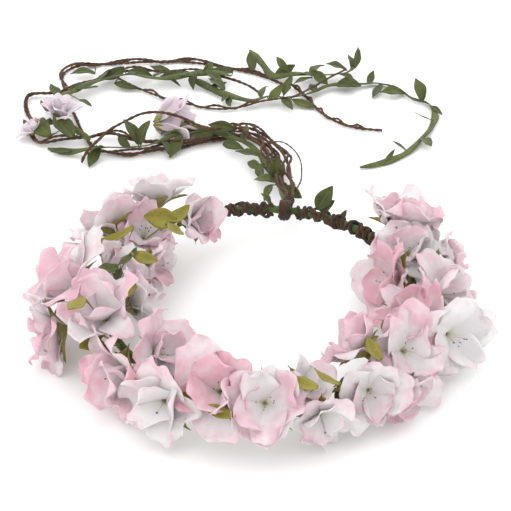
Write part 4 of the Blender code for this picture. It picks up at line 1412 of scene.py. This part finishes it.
class CROWN_OT_tail_vines(bpy.types.Operator):
    """Twisted paper vines, leaf ribbons and the leaves on them"""
    bl_idname = "crown.tail_vines"
    bl_label = "Vines and Ribbons"

    def execute(self, context):
        settings = context.scene.crown_tail
        trims = {name: [] for name in (*VINES, *RIBBONS)}
        paths = {}
        pieces = {}
        thinner = {"vine_fine": settings.fine_diameter, "thread_loop": settings.thread_diameter}
        for number, (name, route) in enumerate(VINES.items()):
            path = smooth_route([behind_hoop(spot) for spot in route], VINE_STEP)
            diameter = thinner.get(name, settings.vine_diameter)
            pieces[name] = twisted_vine(name + "_paper", path, diameter / 2, VINE_PITCH, number + 1)
            paths[name] = path
        for number, (name, route) in enumerate(RIBBONS.items()):
            path = smooth_route([behind_hoop(spot) for spot in route], RIBBON_STEP)
            pieces[name] = flat_ribbon(name + "_cloth", path, settings.ribbon_width, number + 31)
            paths[name] = path
        for number, (name, start, stop, reach, turns, phase) in enumerate(COMPANIONS):
            path = paths[name]
            span = path[int(start * len(path)):int(stop * len(path))]
            strand_name = "%s_strand_%d" % (name, number)
            trims[name].append(self.companion(strand_name, span, reach / 1000, turns, phase, number))
        for number, (name, base, tip, width, turn) in enumerate(TAIL_LEAVES):
            dice = random.Random(number)
            foot = behind_hoop(base)
            root = min(paths[name], key=lambda spot: (spot - foot).length_squared)
            leaf = leaf_blade("tail_leaf_%02d" % number, foot, behind_hoop(tip), width / 1000, turn,
                              dice.uniform(-1.0, 1.6), dice.uniform(0.0, 0.8), root=root)
            trims[name].append(leaf)
        for name, (first, last, count) in GARLANDS.items():
            trims[name] += self.garland(name, paths[name], first, last, count)
        for name, piece in pieces.items():
            lift_clear(piece)
            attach(piece, TAIL)
            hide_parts(name)
            for trim in trims[name]:
                lift_clear(trim)
                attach(trim, TAIL)
        return {"FINISHED"}

    def garland(self, name, path, first, last, count):
        """Leaves at even steps along a ribbon, to its left and right in turn."""
        dice = random.Random(count)
        leaves = []
        frames = carried_frames(path)
        for index in range(count):
            share = first + (last - first) * (index + dice.uniform(0.2, 0.8)) / count
            step = int(share * (len(path) - 1))
            base = path[step]
            tangent = frames[step][0]
            side = tangent.cross(UP).normalized() * (1 if index % 2 else -1)
            direction = tangent * dice.uniform(0.5, 1.2) + side + Vector((0.0, 0.0, dice.uniform(-0.2, 0.5)))
            length = dice.uniform(0.013, 0.019)
            width = length * dice.uniform(0.36, 0.5)
            leaves.append(leaf_blade(
                "%s_leaf_%d" % (name, index), base, base + direction.normalized() * length, width,
                dice.uniform(-40, 40), dice.uniform(-1.0, 1.5), dice.uniform(0.0, 0.9)))
        return leaves

    def companion(self, name, span, reach, turns, phase, seed):
        """Thin strand that leaves a vine, swings round it and comes back to it."""
        points = []
        runs = runs_along(span)
        for run, spot, (tangent, _, _) in zip(runs, span, carried_frames(span)):
            level = tangent.cross(UP).normalized()
            share = run / runs[-1]
            angle = math.tau * turns * share + phase
            swing = math.sin(angle) * (0.7 + 0.3 * math.sin(share * 17 + phase * 3))
            # both ends are held to the vine
            held = min(1.0, share * 12, (1 - share) * 12)
            rise = (0.0015 * math.cos(angle) + 0.0012) * held
            points.append(spot + level * reach * swing * held + Vector((0.0, 0.0, rise)))
        piece = twisted_vine(name, points, COMPANION_RADIUS, COMPANION_PITCH, seed + 60)
        return piece


class CROWN_OT_hoop(bpy.types.Operator):
    """Taped hoop, the paper strands wound round it, and the tail's bound loop"""
    bl_idname = "crown.hoop"
    bl_label = "Hoop"

    def execute(self, context):
        settings = context.scene.crown_hoop
        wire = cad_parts["hoop_wire"]
        wire.data.materials.clear()
        wire.data.materials.append(finish("steel_wire"))
        tape = taped_hoop(settings)
        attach(tape, CROWN)
        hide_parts("hoop_tape")
        radius = settings.strand_diameter / 2
        reach = TAPE_RADIUS + radius * 0.75
        for node, (start, stop) in TWISTS.items():
            distance = math.radians(abs(stop - start)) * HOOP_RADIUS
            wound = join(node + "_paper", [
                strand(hoop_arc(start, stop), distance / pitch, begin, reach * far, radius * size,
                       "paper_wound", 1.3, index * 9.0 + start)
                for index, (pitch, begin, size, far) in enumerate(TWIST_PLIES)])
            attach(wound, CROWN)
            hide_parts(node)
        brow = join("twist_brow", [
            strand(hoop_arc(start, stop), turns, begin, TAPE_RADIUS + 0.0006, 0.0010, "paper_wound", 0.4)
            for start, stop, turns, begin in BROW_TURNS])
        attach(brow, CROWN)
        self.loop()
        return {"FINISHED"}

    def loop(self):
        """Vine ends bound round the hoop, and round each other where they leave it."""
        low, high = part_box("tail_loop")
        centre = hoop_point(TIE_ANGLE)
        # half the band's length, and a bore that clears the tape where it laps
        half = (high.x - low.x) / 2 - 0.0009
        bore = TAPE_RADIUS * 1.16 + 0.0004
        band = [centre + Vector((half * side, 0.0, 0.0)) for side in (-1, -0.5, 0, 0.5, 1)]
        stub_end = behind_hoop(STUB_END)
        root = centre + (stub_end - centre).normalized() * (bore + 0.001)
        stub = [root.lerp(stub_end, share / 4) for share in range(5)]
        # path, turns, start, reach, radius, unevenness and seed of each strand
        strands = (
            (band, 4.6, 0.1, bore + 0.0013, 0.0014, 0.5, 0.0),
            (band[::-1], 3.3, 0.6, bore + 0.0024, 0.0012, 0.7, 4.0),
            (stub, 5.2, 0.0, 0.0027, 0.0011, 0.5, 2.0),
            (stub, 0.6, 0.3, 0.0012, 0.0016, 0.4, 7.0),
            (stub, 0.6, 0.8, 0.0012, 0.0016, 0.4, 8.0),
        )
        bound = join("tail_loop_bound", [
            strand(path, turns, start, reach, radius, "paper_binding", uneven, seed)
            for path, turns, start, reach, radius, uneven, seed in strands])
        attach(bound, TAIL)
        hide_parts("tail_loop")


class CROWN_OT_blossoms(bpy.types.Operator):
    """Silk blossoms of the crown and of the tail, with their sepals"""
    bl_idname = "crown.blossoms"
    bl_label = "Blossoms"

    def execute(self, context):
        settings = context.scene.crown_blossom
        for number, wear in WEAR.items():
            node = "blossom_%02d" % number
            material = "silk_pink" if number in PINK_SILK else "silk_blush"
            dressed_blossom(node, CROWN, wear, material, settings, number)
        for number, (node, wear) in enumerate(TAIL_WEAR.items()):
            dressed_blossom(node, TAIL, wear, "silk_lavender", settings, 70 + number)
        return {"FINISHED"}


class CROWN_OT_stamens(bpy.types.Operator):
    """Filaments and dark anthers in the open blossoms"""
    bl_idname = "crown.stamens"
    bl_label = "Stamens"

    def execute(self, context):
        settings = context.scene.crown_blossom
        points = []
        edges = []
        for number, (openness, _, _, _, heart) in WEAR.items():
            base, facing, first, _, depth = cup_of("blossom_%02d" % number)
            third = facing.cross(first)
            dice = random.Random(number + 200)
            for _ in range(settings.stamens if heart > OPEN_HEART else CLOSED_STAMENS):
                around = dice.uniform(0, math.tau)
                spread = math.radians(dice.uniform(4, 20 + 10 * openness))
                length = depth * dice.uniform(0.55, 0.85)
                side = first * math.cos(around) + third * math.sin(around)
                for step in range(STAMEN_POINTS):
                    share = step / (STAMEN_POINTS - 1)
                    lean = spread * (0.5 + 0.5 * share)
                    points.append(base + facing * (0.001 + length * share * math.cos(lean))
                                  + side * (0.0006 + length * share * math.sin(lean)))
                    if step:
                        edges.append((len(points) - 2, len(points) - 1))
        stamens = grow("stamens", points, edges, "Stamens", {
            "Filament Radius": FILAMENT_RADIUS, "Anther Radius": ANTHER_RADIUS,
            "Filament Material": finish("filament"), "Anther Material": finish("anther")})
        lift_clear(stamens)
        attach(stamens, CROWN)
        return {"FINISHED"}


class CROWN_OT_sprigs(bpy.types.Operator):
    """Branched stems, rounded and fuzzy"""
    bl_idname = "crown.sprigs"
    bl_label = "Stems"

    def execute(self, context):
        for node in sorted(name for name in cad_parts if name.startswith("sprig_")):
            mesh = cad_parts[node].data.copy()
            work = bmesh.new()
            work.from_mesh(mesh)
            bmesh.ops.remove_doubles(work, verts=work.verts, dist=1e-5)
            work.to_mesh(mesh)
            work.free()
            mesh.shade_smooth()
            mesh.materials.clear()
            mesh.materials.append(finish("stem_lime"))
            stem = bpy.data.objects.new(node + "_stem", mesh)
            context.scene.collection.objects.link(stem)
            soften = stem.modifiers.new("soften", "SUBSURF")
            soften.levels = 1
            soften.render_levels = 1
            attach(stem, CROWN)
            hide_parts(node)
        return {"FINISHED"}


class CROWN_OT_leaves(bpy.types.Operator):
    """Leaves tucked into the hoop, and leaves and sepals that stand out among the blossoms"""
    bl_idname = "crown.leaves"
    bl_label = "Leaves"

    def execute(self, context):
        low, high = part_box("leaf_back")
        base = Vector((high.x * 0.2 + low.x * 0.8, low.y + 0.0005, low.z + 0.001))
        tip = Vector((high.x - 0.001, high.y - 0.002, high.z - 0.001))
        standing = leaf_blade("leaf_back_cloth", base, tip, width=0.0105, turn=25, curl=1.8, shade=0.2)
        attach(standing, CROWN)
        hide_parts("leaf_back")
        for number, (angle, roll, swing, length, width, turn) in enumerate(HOOP_LEAVES):
            leaf = hoop_leaf("hoop_leaf_%d" % number, angle, roll, swing, length / 1000, width / 1000, turn)
            lift_clear(leaf)
            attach(leaf, CROWN)
        for kind, rows in CROWN_BLADES.items():
            material = "leaf_green" if kind == "leaf" else "stem_lime"
            for number, (base, tip, width) in enumerate(rows):
                foot = Vector(base) / 1000
                root = hoop_point(math.degrees(math.atan2(foot.y, foot.x)))
                root += (foot - root).normalized() * TAPE_RADIUS
                blade = leaf_blade("crown_%s_%02d" % (kind, number), foot, Vector(tip) / 1000, width / 1000,
                                   (number * 37) % 70 - 35, -1.6, 0.3, material, root)
                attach(blade, CROWN)
        return {"FINISHED"}


class CROWN_PT_panel(bpy.types.Panel):
    """Steps that dress the crown"""
    bl_idname = "CROWN_PT_panel"
    bl_label = "Flower Crown"
    bl_space_type = "VIEW_3D"
    bl_region_type = "UI"
    bl_category = "Flower Crown"

    def draw(self, context):
        for step in STEPS:
            self.layout.operator(step.bl_idname)
        for settings in ("crown_blossom", "crown_tail", "crown_hoop", "crown_stage"):
            box = self.layout.box()
            group = getattr(context.scene, settings)
            for name in group.bl_rna.properties.keys():
                if name not in ("rna_type", "name"):
                    box.prop(group, name)


SETTINGS = {
    "crown_blossom": BlossomSettings,
    "crown_tail": TailSettings,
    "crown_hoop": HoopSettings,
    "crown_stage": StageSettings,
}
STEPS = (CROWN_OT_stage, CROWN_OT_tail_vines, CROWN_OT_hoop, CROWN_OT_blossoms, CROWN_OT_stamens,
         CROWN_OT_sprigs, CROWN_OT_leaves)


def register():
    """Registers the settings, the steps and the panel."""
    for name, group in SETTINGS.items():
        bpy.utils.register_class(group)
        setattr(bpy.types.Scene, name, bpy.props.PointerProperty(type=group))
    for kind in (*STEPS, CROWN_PT_panel):
        bpy.utils.register_class(kind)


def unregister():
    """Takes the panel, the steps and the settings away."""
    for kind in (CROWN_PT_panel, *reversed(STEPS)):
        bpy.utils.unregister_class(kind)
    for name, group in SETTINGS.items():
        delattr(bpy.types.Scene, name)
        bpy.utils.unregister_class(group)


def main():
    """Dresses the crown."""
    register()
    bpy.ops.crown.stage()
    bpy.ops.crown.tail_vines()
    bpy.ops.crown.hoop()
    bpy.ops.crown.blossoms()
    bpy.ops.crown.stamens()
    bpy.ops.crown.sprigs()
    bpy.ops.crown.leaves()


if __name__ == "__main__":
    main()
